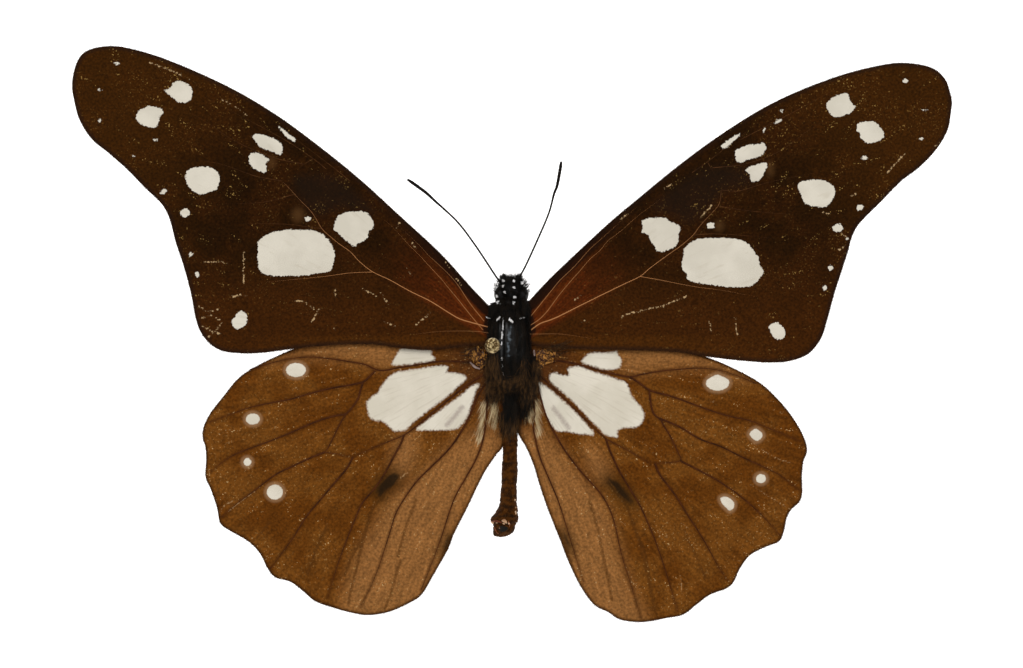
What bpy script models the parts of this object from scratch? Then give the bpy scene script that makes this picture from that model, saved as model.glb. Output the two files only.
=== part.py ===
"""A spread butterfly specimen on an insect pin, as it stands in a collection.

Metres, +Z up. The origin is the pin's point. +Y runs to the specimen's head and +X to its right wings.
"""

import math

import bmesh
import bpy
from mathutils import Matrix, Vector
from mathutils.geometry import delaunay_2d_cdt

MM = 0.001

# Driving dimensions
SPAN = 75.0 * MM
PIN_LENGTH = 38.0 * MM
PIN_DIAMETER = 0.50 * MM
PIN_HEAD_DIAMETER = 1.30 * MM
PIN_HEAD_HEIGHT = 0.80 * MM
THORAX_HALF_WIDTH = 1.83 * MM
THORAX_HALF_LENGTH = 4.05 * MM
THORAX_HALF_HEIGHT = 2.05 * MM
THORAX_LEVEL = 25.25 * MM
FOREWING_LEVEL = 25.80 * MM
HINDWING_LEVEL = 25.36 * MM
WING_SKIN = 0.16 * MM
VEIN_HALF_WIDTH = 0.17 * MM
VEIN_RELIEF = 0.07 * MM
UNDERSIDE_SHARE = 0.6
GAP = 0.05 * MM

# How finely the wings are divided: along the edges, along the veins and over the open fields
EDGE_STEP = 1.05 * MM
VEIN_STEP = 2.6 * MM
FIELD_STEP = 3.4 * MM
FIELD_CLEAR = 1.1 * MM

# The wings rise a little from the roots and level out towards the tips
WING_SLOPE = 0.070
WING_LEVELLING = 1.1 / (1000 * MM)

# Flat positions are pixels of a view from straight above, x to the right and y down. The wing tips and
# the pin's point tie them to the real size.
LEFT_TIP_PX = 72.5
RIGHT_TIP_PX = 951.5
PIN_POINT_PX = (517.0, 351.0)
PIN_TOP_PX = (492.4, 345.4)
THORAX_PX = (509.3, 350.5)
HEAD_PX = (511.3, 290.5)
PIXEL = SPAN / (RIGHT_TIP_PX - LEFT_TIP_PX)

LEFT_FOREWING_MARGIN = [
    (489, 306), (470, 286), (440, 253), (400, 216), (360, 179.5), (320, 147), (280, 117.5), (240, 93),
    (200, 73.5), (160, 57.3), (130, 48.7), (112, 46.3), (95, 48.3), (83, 54), (76, 66), (72.5, 84),
    (74.5, 100), (80, 120), (92, 139), (110, 154), (128, 170), (146, 188.5), (162, 204), (170, 219),
    (176, 242), (184, 266), (191, 292), (196, 318), (201, 332), (210, 343.5), (222, 350.7), (240, 353.2),
    (262, 352.8), (294, 348.7), (320, 346), (350, 344.4), (376, 344.6), (400, 348), (430, 350),
    (458, 347.3), (484, 345),
]
RIGHT_FOREWING_MARGIN = [
    (529, 301), (550, 278.5), (580, 249.9), (610, 222.2), (640, 197.1), (670, 172.4), (700, 149.4),
    (730, 128.6), (760, 110), (790, 94.9), (820, 82.7), (850, 72.6), (880, 65.5), (900, 63.1),
    (920, 64.9), (935, 70), (945, 79.9), (949.5, 92.3), (951.5, 102), (950, 116.3), (947, 130.4),
    (937, 148), (920, 166.4), (900, 181.9), (880, 202.3), (860, 222.4), (852, 235.9), (847.5, 252),
    (841.6, 270), (834, 293.8), (827, 319.2), (820.6, 338.5), (808, 353.8), (790, 360.8), (770, 362.5),
    (740, 360.5), (706, 356.5), (680, 352.4), (650, 350.7), (620, 350), (590, 349.3), (560, 348),
    (536, 346),
]
LEFT_HINDWING_MARGIN = [
    (483, 341), (462, 324), (430, 317), (390, 318), (350, 328), (320, 338.5), (294, 348.7), (262, 363.3),
    (240, 377), (225, 394.5), (210, 414), (203.5, 428), (203, 438), (205.8, 448), (206.3, 462),
    (205.7, 477), (211, 489), (217, 507), (220.5, 523), (230, 530.5), (248, 541), (260, 553), (267, 567),
    (275, 577), (290, 581.5), (302, 590), (315, 601), (330, 606.5), (343, 610.5), (357, 613.7),
    (370, 615), (390, 611.5), (410, 602.5), (422, 594), (434, 574), (448, 549), (454, 533.5),
    (467, 508), (483, 475), (496, 455), (503, 446), (504, 430), (503, 412), (501, 400),
]
RIGHT_HINDWING_MARGIN = [
    (536, 341), (556, 324), (590, 318), (625, 325), (655, 336), (680, 346.5), (706.3, 356.9),
    (730, 366.7), (760, 383), (782, 404), (796, 422.8), (804.3, 438.6), (806.8, 451.1), (803, 462),
    (801.7, 476), (802, 493), (799, 502), (791, 509.5), (786.5, 518), (784, 530), (779, 541), (765, 547),
    (750, 555), (740, 568), (733.9, 581), (727, 588), (710, 594.5), (697, 604), (683, 614.5), (666, 618),
    (650, 621.2), (637, 622), (620, 619.5), (608, 612), (594.4, 604.9), (581.3, 587.5), (569.4, 563.5),
    (560, 539.5), (548.7, 511.2), (540.3, 487), (535.6, 471), (531, 458), (525.4, 446), (520.5, 438),
    (517.5, 430), (517.5, 415), (518, 400),
]

# Wing veins, each from its root or its fork outwards
LEFT_FOREWING_VEINS = {
    "subcosta": [(484, 321), (470, 303.5), (451, 276.7), (419, 245), (380, 208), (330, 165), (270, 121),
                 (222, 97)],
    "radius": [(483, 330), (472, 317), (449, 288.6), (429, 265.8), (399, 234), (369.5, 206), (340, 179),
               (315, 160), (290, 143), (250, 121), (190, 90), (130, 64), (95, 56)],
    "cubitus": [(481, 335), (475, 323), (450, 313.5), (420, 296), (390, 280), (373, 272), (350, 251.5),
                (322, 228.7), (306, 206), (283, 182)],
    "cell_end": [(313, 159), (299, 168), (288, 181)],
    "media_1": [(303, 164), (275, 158), (235, 141), (190, 113), (140, 98), (84, 88)],
    "media_2": [(282, 181), (255, 176), (220, 164), (180, 158), (145, 156), (122, 160)],
    "media_3": [(296, 194), (265, 202), (230, 204), (195, 205), (172, 209)],
    "cubitus_1": [(322, 228.7), (285, 224.2), (245, 224), (210, 228), (182, 235)],
    "cubitus_2": [(373, 272), (330, 275.8), (280, 281), (240, 286), (200, 295)],
    "anal": [(482, 338), (460, 331), (430, 332.5), (390, 336.3), (340, 334.5), (290, 334), (250, 337),
             (212, 337)],
}
RIGHT_FOREWING_VEINS = {
    "subcosta": [(531, 316), (550, 292), (574, 267), (600, 240), (637, 207), (668, 184), (710, 153),
                 (760, 120), (805, 98)],
    "radius": [(531, 325), (547.7, 310.6), (560, 294), (580, 270.7), (597, 252.5), (620, 231.7), (647, 209),
               (680, 180), (716, 157), (745, 137), (790, 114), (840, 88), (890, 74), (925, 74)],
    "cubitus": [(532, 330), (550, 320.1), (580, 305.7), (610, 291.2), (640, 276.4), (660, 260.3),
                (693, 235.2), (704, 221), (719, 204), (721, 191)],
    "cell_end": [(708, 163), (715, 176), (720, 189)],
    "media_1": [(712, 168), (745, 164), (780, 151), (820, 124), (865, 118), (905, 106), (940, 104)],
    "media_2": [(721, 190), (745, 189.5), (770, 182), (810, 174), (850, 166), (900, 170)],
    "media_3": [(717, 206), (750, 211), (790, 214), (830, 212), (858, 213)],
    "cubitus_1": [(693, 235), (715, 234), (760, 237), (800, 243), (838, 250)],
    "cubitus_2": [(640, 276.5), (677, 283.4), (715, 290), (760, 297), (822, 303)],
    "anal": [(531, 336), (560, 334), (590, 338.3), (620, 343), (660, 343), (710, 342.6), (760, 347),
             (800, 351)],
}
LEFT_HINDWING_VEINS = {
    "subcosta": [(484, 364), (460, 361), (430, 363), (400, 367.5), (375, 371), (350, 361.7), (320, 357),
                 (290, 358.7), (258, 367)],
    "radius": [(375, 371), (363, 382), (340, 386.5), (310, 393.5), (270, 403), (240, 410), (214, 421)],
    "cell_end": [(363, 382), (358, 399), (346, 414), (336, 432), (325, 452), (340, 455), (353, 457)],
    "media_1": [(346, 414), (310, 424), (270, 441), (232, 456), (213, 470)],
    "media_2": [(325, 452), (293, 466), (268, 479), (243, 498), (226, 514)],
    "media_3": [(353, 457), (337, 480), (313, 509), (290, 542), (273, 565)],
    "cubitus": [(484, 375), (463, 388), (432, 413), (404, 435), (370, 449), (353, 457)],
    "cubitus_1": [(404, 435), (393, 458), (375, 488), (358, 512), (345, 545), (329, 594)],
    "cubitus_2": [(487, 384), (474, 405), (461, 432), (431, 467), (406, 496), (390, 532), (378, 569),
                  (363, 602)],
    "anal": [(491, 390), (486, 425), (477, 457), (460, 487), (446, 523), (434, 557), (424, 582)],
}
RIGHT_HINDWING_VEINS = {
    "subcosta": [(534, 366), (555, 361), (580, 365), (610, 373), (630, 377), (655, 371.8), (690, 368.1),
                 (720, 370.5), (745, 379)],
    "radius": [(630, 377), (650, 390.5), (680, 399.7), (720, 413), (760, 424.4), (796, 439)],
    "cell_end": [(650, 390.5), (652, 408), (662, 421), (670, 436), (680.7, 460), (667, 462.4), (655, 463.4)],
    "media_1": [(660, 418.6), (690, 432.6), (720, 446.2), (760, 465.3), (794, 486)],
    "media_2": [(680.7, 461), (710, 475.6), (740, 495.5), (760, 513.4), (777, 532)],
    "media_3": [(655, 463.4), (670, 489.4), (688, 515.6), (703, 539.5), (725, 577)],
    "cubitus": [(535, 371), (550, 384.5), (580, 413.9), (606, 438.9), (640, 457.5), (655, 463.4)],
    "cubitus_1": [(606, 438.9), (619, 470), (635.5, 498), (650, 527.5), (662, 560), (676, 606)],
    "cubitus_2": [(533, 379), (543, 406), (560, 442), (585, 476), (609, 507), (619.5, 545), (640, 612)],
    "anal": [(530, 388), (533.5, 428), (549, 479), (565, 521), (577, 562), (584, 583)],
}

LEFT_ANTENNA = [
    (500, 282.5), (493.2, 272.3), (475.4, 245.5), (457.5, 222), (435, 201), (426.3, 193), (414.6, 184.4),
    (407.5, 179.5),
]
RIGHT_ANTENNA = [
    (519.5, 277), (526, 265), (537, 241), (548.5, 214), (554, 194), (557, 186), (560, 170), (561.2, 161.7),
]

# Abdomen from its waist to its tip: centre x, y and full width, in pixels
ABDOMEN_STATIONS = [
    (510.5, 400, 12), (510.5, 407, 16), (510.3, 420, 15.5), (510.3, 433, 14.5), (510.2, 445, 15.5),
    (510, 458, 15), (509.7, 470, 17), (509.3, 481, 15.5), (508.8, 491, 17), (508.3, 501, 17.5),
    (507.5, 510, 21.5), (504.3, 519, 28.5), (503.4, 527, 25), (502.8, 533.5, 18),
]
ABDOMEN_TIP_PX = (502.6, 537.5)

# Leg joints on one side, in mm from the thorax's middle: outwards, forwards, up
LEGS = {
    "fore": [(0.55, 2.55, -1.95), (0.85, 3.10, -2.35), (0.75, 1.85, -2.75)],
    "mid": [(0.75, 0.30, -2.20), (2.55, 1.45, -2.85), (1.85, -1.50, -3.60), (1.30, -4.00, -3.95)],
    "hind": [(0.70, -2.10, -2.00), (2.45, -3.30, -2.70), (2.10, -5.60, -3.35), (1.60, -7.70, -3.70)],
}


def clear_scene():
    for obj in list(bpy.data.objects):
        bpy.data.objects.remove(obj)


def material(name, colour, roughness, metallic=0.0):
    made = bpy.data.materials.new(name)
    made.use_nodes = True
    made.diffuse_color = (*colour, 1.0)
    shader = made.node_tree.nodes["Principled BSDF"]
    shader.inputs["Base Color"].default_value = (*colour, 1.0)
    shader.inputs["Roughness"].default_value = roughness
    shader.inputs["Metallic"].default_value = metallic
    return made


def flat_place(px):
    """Pixels to the flat place in metres."""
    return Vector(((px[0] - PIN_POINT_PX[0]) * PIXEL, (PIN_POINT_PX[1] - px[1]) * PIXEL))


THORAX_X, THORAX_Y = flat_place(THORAX_PX)
HEAD_X, HEAD_Y = flat_place(HEAD_PX)


def smooth_line(points, step):
    """Points about a step apart on a smooth curve through the given ones."""
    ends = [2 * points[0] - points[1], *points, 2 * points[-1] - points[-2]]
    line = []
    for before, start, end, after in zip(ends, ends[1:], ends[2:], ends[3:]):
        count = max(1, round((end - start).length / step))
        for i in range(count):
            t = i / count
            bend = (2 * before - 5 * start + 4 * end - after) * t**2
            twist = (3 * start - before - 3 * end + after) * t**3
            line.append((2 * start + (end - before) * t + bend + twist) / 2)
    return [*line, points[-1]]


def distance_to_line(point, line):
    """How far a flat point lies from a line, and how far along the line that is, from 0 to 1."""
    best, where, run = math.inf, 0.0, 0.0
    for a, b in zip(line, line[1:]):
        along = b - a
        t = min(1.0, max(0.0, (point - a).dot(along) / along.length_squared))
        away = (point - a - along * t).length
        if away < best:
            best, where = away, run + along.length * t
        run += along.length
    return best, where / run


def finish_mesh(name, bm, surface):
    mesh = bpy.data.meshes.new(name)
    bmesh.ops.recalc_face_normals(bm, faces=bm.faces[:])
    bm.to_mesh(mesh)
    bm.free()
    mesh.shade_smooth()
    mesh.set_sharp_from_angle(angle=math.radians(40))
    mesh.materials.append(surface)
    obj = bpy.data.objects.new(name, mesh)
    bpy.context.collection.objects.link(obj)
    return obj


def thorax_half_width(y):
    """Half the thorax's width at a place along it: a rounded, rather square plan."""
    share = min(1.0, abs(y - THORAX_Y) / THORAX_HALF_LENGTH)
    return THORAX_HALF_WIDTH * (1 - share**2.5) ** 0.4


def wing_rise(x):
    """How far the spread wings rise above their roots at this distance out."""
    out = abs(x - THORAX_X)
    return WING_SLOPE * out - WING_LEVELLING * out**2


def wing_root(side, front_y, back_y):
    """The wing's inner edge, which follows the thorax from the back to the front."""
    count, inset = 5, 0.25 * MM
    back_y, front_y = back_y + inset, front_y - inset
    ys = [back_y + (front_y - back_y) * i / (count - 1) for i in range(count)]
    return [Vector((THORAX_X + side * (thorax_half_width(y) + GAP), y)) for y in ys]


def wing(name, side, margin, veins, level, surface):
    """A thin plate over the wing's outline, its veins raised on both faces."""
    edge = smooth_line([flat_place(px) for px in margin], EDGE_STEP)
    outline = edge + wing_root(side, edge[0].y, edge[-1].y)
    lines = [smooth_line([flat_place(px) for px in vein], VEIN_STEP) for vein in veins.values()]

    # Flat work is in millimetres, which keeps the triangulation's numbers near one
    points, edges = [point / MM for point in outline], []
    for line in lines:
        for shift in (-VEIN_HALF_WIDTH, 0.0, VEIN_HALF_WIDTH):
            start = len(points)
            for i, point in enumerate(line):
                run = line[min(i + 1, len(line) - 1)] - line[max(i - 1, 0)]
                across = Vector((-run.y, run.x)).normalized()
                points.append((point + across * shift) / MM)
            edges += [(i, i + 1) for i in range(start, len(points) - 1)]
    points += inner_points(outline, lines)
    found, _, faces, _, _, _ = delaunay_2d_cdt(points, edges, [list(range(len(outline)))], 1, 1e-4)

    def relief(point):
        height = 0.0
        for line in lines:
            away, along = distance_to_line(point, line)
            fade = min(1.0, (1 - along) / 0.2)
            height = max(height, fade * (1 - away / VEIN_HALF_WIDTH))
        return VEIN_RELIEF * height

    bm = bmesh.new()
    ridge = bm.verts.layers.float.new("ridge")
    for point in found:
        flat = point * MM
        vert = bm.verts.new((flat.x, flat.y, level + wing_rise(flat.x)))
        vert[ridge] = relief(flat)
    bm.verts.ensure_lookup_table()
    for face in faces:
        bm.faces.new([bm.verts[i] for i in face])
    bmesh.ops.delete(bm, geom=[vert for vert in bm.verts if not vert.link_faces], context="VERTS")
    lower = bm.verts[:]
    made = bmesh.ops.extrude_face_region(bm, geom=bm.faces[:], use_keep_orig=True)
    for vert in lower:
        vert.co.z -= WING_SKIN / 2 + UNDERSIDE_SHARE * vert[ridge]
    for vert in (item for item in made["geom"] if isinstance(item, bmesh.types.BMVert)):
        vert.co.z += WING_SKIN / 2 + vert[ridge]
    bm.verts.layers.float.remove(ridge)
    return finish_mesh(name, bm, surface)


def inner_points(outline, lines):
    """Points spread over the open fields between the veins, in mm, so that the plate can bow."""
    low = Vector((min(p.x for p in outline), min(p.y for p in outline)))
    high = Vector((max(p.x for p in outline), max(p.y for p in outline)))
    closed = [*outline, outline[0]]
    found = []
    for row in range(int((high.y - low.y) / FIELD_STEP) + 1):
        for column in range(int((high.x - low.x) / FIELD_STEP) + 2):
            point = low + Vector(((column + 0.5 * (row % 2)) * FIELD_STEP, row * FIELD_STEP))
            if all(distance_to_line(point, line)[0] > FIELD_CLEAR for line in [closed, *lines]):
                found.append(point / MM)
    return found


def round_form(name, sides, rings, place, surface):
    """A closed round body: a ball whose point at an angle and a share of its length goes where place says."""
    bm = bmesh.new()
    bmesh.ops.create_uvsphere(bm, u_segments=sides, v_segments=rings, radius=1.0)
    for vert in bm.verts:
        angle = math.atan2(vert.co.y, vert.co.x)
        share = math.acos(max(-1.0, min(1.0, vert.co.z))) / math.pi
        vert.co = place(angle, share)
    return finish_mesh(name, bm, surface)


def power(value, exponent):
    """A signed power, for the rounded square sections."""
    return math.copysign(abs(value) ** exponent, value)


def thorax(surface, pin_clearance):
    def place(angle, share):
        y = THORAX_Y + THORAX_HALF_LENGTH * math.cos(math.pi * share)
        width = thorax_half_width(y)
        height = THORAX_HALF_HEIGHT * width / THORAX_HALF_WIDTH
        x = THORAX_X + width * power(math.cos(angle), 0.9)
        z = THORAX_LEVEL + height * power(math.sin(angle), 0.9)
        # The back is highest a little before the middle and slopes down to the waist
        lean = (y - THORAX_Y - 1.0 * MM) / THORAX_HALF_LENGTH
        return Vector((x, y, z - 0.25 * MM * lean**2 * (z > THORAX_LEVEL)))

    obj = round_form("thorax", 24, 16, place, surface)
    cut(obj, pin_clearance)
    return obj


def cut(obj, cutter):
    """Takes the cutter's form out of the object and hides the cutter."""
    trim = obj.modifiers.new("cut_" + cutter.name, "BOOLEAN")
    trim.operation = "DIFFERENCE"
    trim.solver = "EXACT"
    trim.object = cutter
    cutter.hide_render = True
    cutter.display_type = "WIRE"


def join_to(obj, other):
    """Unites another form with the object and hides it."""
    union = obj.modifiers.new("with_" + other.name, "BOOLEAN")
    union.operation = "UNION"
    union.solver = "EXACT"
    union.object = other
    other.hide_render = True
    other.display_type = "WIRE"


def ellipsoid(name, centre, half, surface, sides, rings, turn=None):
    """An egg-shaped form with these half sizes, turned about its centre if asked."""
    spin = turn or Matrix.Identity(3)

    def place(angle, share):
        ring = math.sin(math.pi * share)
        across = (half[0] * ring * math.cos(angle), half[1] * ring * math.sin(angle))
        return Vector(centre) + spin @ Vector((*across, half[2] * math.cos(math.pi * share)))

    return round_form(name, sides, rings, place, surface)


EYE_HALF = (0.62 * MM, 0.74 * MM, 0.80 * MM)
EYES_OUT = 0.86 * MM
EYES_BACK = 0.36 * MM
HEAD_LEVEL = THORAX_LEVEL + 0.15 * MM


def eye_centre(side):
    return Vector((HEAD_X + side * EYES_OUT, HEAD_Y - EYES_BACK, HEAD_LEVEL))


def head(surface):
    """The head with its two palps, hollowed at the sides for the eyes."""
    half = (0.98 * MM, 1.02 * MM, 1.05 * MM)
    obj = ellipsoid("head", (HEAD_X, HEAD_Y, HEAD_LEVEL), half, surface, 18, 12)
    for side, word in ((-1, "left"), (1, "right")):
        place = (HEAD_X + side * 0.56 * MM, HEAD_Y + 0.70 * MM, HEAD_LEVEL + 0.05 * MM)
        turn = Matrix.Rotation(math.radians(-62), 3, "X") @ Matrix.Rotation(math.radians(8 * side), 3, "Y")
        palp = ellipsoid("palp_" + word, place, (0.33 * MM, 0.32 * MM, 0.72 * MM), surface, 10, 8, turn)
        join_to(obj, palp)
    for side, word in ((-1, "left"), (1, "right")):
        room = [size + GAP for size in EYE_HALF]
        cut(obj, ellipsoid("socket_" + word, eye_centre(side), room, surface, 14, 10))
    return obj


def abdomen(surface):
    """The slender, ringed abdomen, bent a little and swollen at its tip."""
    stations = [(*flat_place((x, y)), width * PIXEL / 2) for x, y, width in ABDOMEN_STATIONS]
    tip = flat_place(ABDOMEN_TIP_PX)
    rings = len(stations) + 1

    def place(angle, share):
        index = round(share * rings)
        droop = 0.55 * MM * share
        z = THORAX_LEVEL + 0.50 * MM - droop
        if index == 0:
            return Vector((stations[0][0], stations[0][1] + GAP, z))
        if index == rings:
            return Vector((tip.x, tip.y, z))
        x, y, radius = stations[index - 1]
        return Vector((x + radius * math.cos(angle), y, z + 0.92 * radius * math.sin(angle)))

    return round_form("abdomen", 14, rings, place, surface)


def tube(name, points, radii, surface, sides_level=1):
    """A round thread along the points, as thick at each as its radius says, closed at both ends."""
    curve = bpy.data.curves.new(name, "CURVE")
    curve.dimensions = "3D"
    curve.bevel_depth = 1.0
    curve.bevel_resolution = sides_level
    curve.use_fill_caps = True
    spline = curve.splines.new("POLY")
    spline.points.add(len(points) - 1)
    for point, place, radius in zip(spline.points, points, radii):
        point.co = (*place, 1.0)
        point.radius = radius
    curve.materials.append(surface)
    obj = bpy.data.objects.new(name, curve)
    bpy.context.collection.objects.link(obj)
    return obj


def antenna(name, route, surface):
    """A thread that lies in the wings' plane and thickens to a long club over its last stretch."""
    line = smooth_line([flat_place(px) for px in route], 0.9 * MM)
    count = len(line)
    points, radii = [], []
    for i, flat in enumerate(line):
        share = i / (count - 1)
        points.append(Vector((flat.x, flat.y, HEAD_LEVEL + 0.62 * MM + 1.1 * MM * share)))
        swell = max(0.0, min(1.0, (share - 0.76) / 0.12))
        radii.append((0.070 + 0.075 * swell) * MM * (0.6 if i == count - 1 else 1.0))
    return tube(name, points, radii, surface)


def leg(name, side, joints, thick, surface):
    """A folded leg: thigh, shin and foot between its joints, rounded a little at each bend."""
    middle = Vector((THORAX_X, THORAX_Y, THORAX_LEVEL))
    corners = [middle + Vector((side * x, y, z)) * MM for x, y, z in joints]
    points = [corners[0]]
    for before, corner, after in zip(corners, corners[1:], corners[2:]):
        points += [corner.lerp(before, 0.5), corner.lerp(before, 0.14), corner.lerp(after, 0.14)]
    points += [corners[-1].lerp(corners[-2], 0.5), corners[-1]]
    count = len(points)
    radii = [thick * (1.0 - 0.62 * i / (count - 1)) for i in range(count)]
    return tube(name, points, radii, surface)


def proboscis(surface):
    """The feeding tube, rolled up in a flat coil under the head."""
    turns, steps, thick = 2.25, 30, 0.065 * MM
    outer, inner = 0.56 * MM, 0.12 * MM
    centre = Vector((HEAD_X, HEAD_Y + 0.55 * MM, HEAD_LEVEL - 1.62 * MM))
    points = []
    for i in range(steps + 1):
        share = i / steps
        angle = math.radians(100) - 2 * math.pi * turns * share
        radius = outer + (inner - outer) * share
        points.append(centre + radius * Vector((0, math.cos(angle), math.sin(angle))))
    return tube("proboscis", points, [thick] * len(points), surface, 0)


def turned(name, profile, sides, surface):
    """A solid turned about Z from a profile of radius and height that starts and ends on the axis."""
    bm = bmesh.new()
    verts = [bm.verts.new((radius, 0.0, height)) for radius, height in profile]
    edges = [bm.edges.new(pair) for pair in zip(verts, verts[1:])]
    bmesh.ops.spin(
        bm, geom=verts + edges, cent=(0, 0, 0), axis=(0, 0, 1), dvec=(0, 0, 0),
        angle=2 * math.pi, steps=sides, use_merge=True,
    )
    bmesh.ops.remove_doubles(bm, verts=bm.verts[:], dist=1e-7)
    return finish_mesh(name, bm, surface)


def lean_on_pin(obj):
    """Stands the piece along the pin's axis, which leans from the pin's point to its head."""
    top = Vector((*flat_place(PIN_TOP_PX), PIN_LENGTH))
    obj.rotation_mode = "QUATERNION"
    obj.rotation_quaternion = Vector((0, 0, 1)).rotation_difference(top)
    return obj


def pin(steel, brass):
    """The steel shaft with its ground point, and the brass head pressed on its top."""
    radius = PIN_DIAMETER / 2
    point_length = 2.2 * MM
    socket, hold = radius + 0.03 * MM, 0.40 * MM
    top = PIN_LENGTH - 0.30 * MM
    shaft = [(0, 0), (0.3 * radius, 0.25 * point_length), (0.75 * radius, 0.65 * point_length),
             (radius, point_length), (radius, top), (0, top)]
    lean_on_pin(turned("pin_shaft", shaft, 14, steel))

    base = top - hold + 0.03 * MM
    outer = PIN_HEAD_DIAMETER / 2
    bands, foot = 5, math.radians(60)
    dome = []
    for i in range(bands + 1):
        angle = (math.pi / 2 + foot) * i / bands - foot
        rise = (math.sin(angle) + math.sin(foot)) / (1 + math.sin(foot))
        dome.append((0.0 if i == bands else outer * math.cos(angle), base + PIN_HEAD_HEIGHT * rise))
    profile = [(0, base + hold), (socket, base + hold), (socket, base), *dome]
    lean_on_pin(turned("pin_head", profile, 20, brass))


def pin_clearance(surface):
    """The round way through the thorax in which the pin stands."""
    radius = PIN_DIAMETER / 2 + GAP
    profile = [(0, 20 * MM), (radius, 20 * MM), (radius, 30 * MM), (0, 30 * MM)]
    return lean_on_pin(turned("pin_clearance", profile, 16, surface))


def main():
    clear_scene()
    dark_scales = material("dark_wing_scales", (0.040, 0.017, 0.006), 0.75)
    brown_scales = material("brown_wing_scales", (0.180, 0.085, 0.026), 0.75)
    dark_body = material("dark_body", (0.022, 0.016, 0.011), 0.55)
    brown_body = material("brown_body", (0.060, 0.034, 0.016), 0.60)
    eye_surface = material("dry_eye", (0.030, 0.018, 0.012), 0.25)
    horn = material("dark_horn", (0.035, 0.024, 0.018), 0.45)
    steel = material("pin_steel", (0.50, 0.49, 0.47), 0.30, 1.0)
    brass = material("pin_brass", (0.62, 0.43, 0.18), 0.35, 1.0)

    left, right = -1, 1
    wing("forewing_left", left, LEFT_FOREWING_MARGIN, LEFT_FOREWING_VEINS, FOREWING_LEVEL, dark_scales)
    wing("forewing_right", right, RIGHT_FOREWING_MARGIN, RIGHT_FOREWING_VEINS, FOREWING_LEVEL, dark_scales)
    wing("hindwing_left", left, LEFT_HINDWING_MARGIN, LEFT_HINDWING_VEINS, HINDWING_LEVEL, brown_scales)
    wing("hindwing_right", right, RIGHT_HINDWING_MARGIN, RIGHT_HINDWING_VEINS, HINDWING_LEVEL, brown_scales)

    thorax(dark_body, pin_clearance(dark_body))
    abdomen(brown_body)
    head(dark_body)
    proboscis(horn)
    antenna("antenna_left", LEFT_ANTENNA, horn)
    antenna("antenna_right", RIGHT_ANTENNA, horn)
    thickness = {"fore": 0.11 * MM, "mid": 0.21 * MM, "hind": 0.21 * MM}
    for side, word in ((left, "left"), (right, "right")):
        ellipsoid("eye_" + word, eye_centre(side), EYE_HALF, eye_surface, 14, 10)
        for pair, joints in LEGS.items():
            leg(f"{pair}_leg_{word}", side, joints, thickness[pair], horn)
    pin(steel, brass)


main()
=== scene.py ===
"""The looks of a pinned, spread butterfly: scaled wings, veins, hairy body, feelers and brass-headed pin."""

import math
import random
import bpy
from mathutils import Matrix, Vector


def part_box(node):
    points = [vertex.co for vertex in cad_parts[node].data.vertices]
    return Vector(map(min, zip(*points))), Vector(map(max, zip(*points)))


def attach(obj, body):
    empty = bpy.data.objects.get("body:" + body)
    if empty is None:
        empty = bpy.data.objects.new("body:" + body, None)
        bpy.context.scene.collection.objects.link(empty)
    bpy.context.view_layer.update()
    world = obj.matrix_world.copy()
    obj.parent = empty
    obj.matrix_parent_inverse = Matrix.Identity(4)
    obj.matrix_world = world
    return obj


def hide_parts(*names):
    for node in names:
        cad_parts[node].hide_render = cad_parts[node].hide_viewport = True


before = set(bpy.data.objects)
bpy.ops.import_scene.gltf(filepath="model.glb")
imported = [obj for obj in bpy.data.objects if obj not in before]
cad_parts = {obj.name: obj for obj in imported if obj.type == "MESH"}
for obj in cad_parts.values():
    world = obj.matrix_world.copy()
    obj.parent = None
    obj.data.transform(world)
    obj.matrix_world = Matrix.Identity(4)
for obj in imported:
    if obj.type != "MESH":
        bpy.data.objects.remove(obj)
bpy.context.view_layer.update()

from types import SimpleNamespace

import bmesh
import bpy
import numpy as np
from mathutils import Matrix, Vector, noise
from mathutils.bvhtree import BVHTree
from mathutils.kdtree import KDTree

MM = 0.001

# Flat positions are pixels of a view from straight above, x to the right and y down, tied to the wing tips
# and to the pin's point
LEFT_TIP_PX = 72.5
RIGHT_TIP_PX = 951.5
PIN_POINT_PX = (517.0, 351.0)
HEAD_PX = (511.3, 290.5)
PIXEL = (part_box("forewing_right")[1].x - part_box("forewing_left")[0].x) / (RIGHT_TIP_PX - LEFT_TIP_PX)
PICTURE_PX = (1023, 668)


def at(x, y):
    """A pixel's place in flat metres."""
    return np.array([(x - PIN_POINT_PX[0]) * PIXEL, (PIN_POINT_PX[1] - y) * PIXEL])



# The wings' lie, as in the solids, and the row where the forewings give way to the hindwings at the body
FOREWING_LEVEL = 25.80 * MM
HINDWING_LEVEL = 25.36 * MM
WING_SLOPE = 0.070
WING_LEVELLING = 1.1 / (1000 * MM)
WING_HEIGHT = 26 * MM
WINGS_PART_Y = at(0, 350)[1]
MEMBRANE = 0.10 * MM
MEMBRANE_EDGE = 0.03 * MM
CELL = 0.145 * MM
EDGE_STEP = 0.25 * MM
RIM_REACH = 1 * MM
ROOT_OVERLAP = 0.30 * MM

# The veins' radii in mm, at the root and at the far end
STEM_RADII = ((0.058, 0.046), (0.058, 0.046), (0.068, 0.052), (0.054, 0.040), (0.058, 0.046))
FOREWING_VEIN_RADII = (0.058, 0.045)
HINDWING_VEIN_RADII = (0.102, 0.052)

# Markings kept as the depth in an area; the others are kept as the distance from a line
AREA_MARKS = ("spot", "smudge", "soot", "patch", "brand", "field")

HAIR_POINTS = 5
LIMB_POINTS = 25

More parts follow.
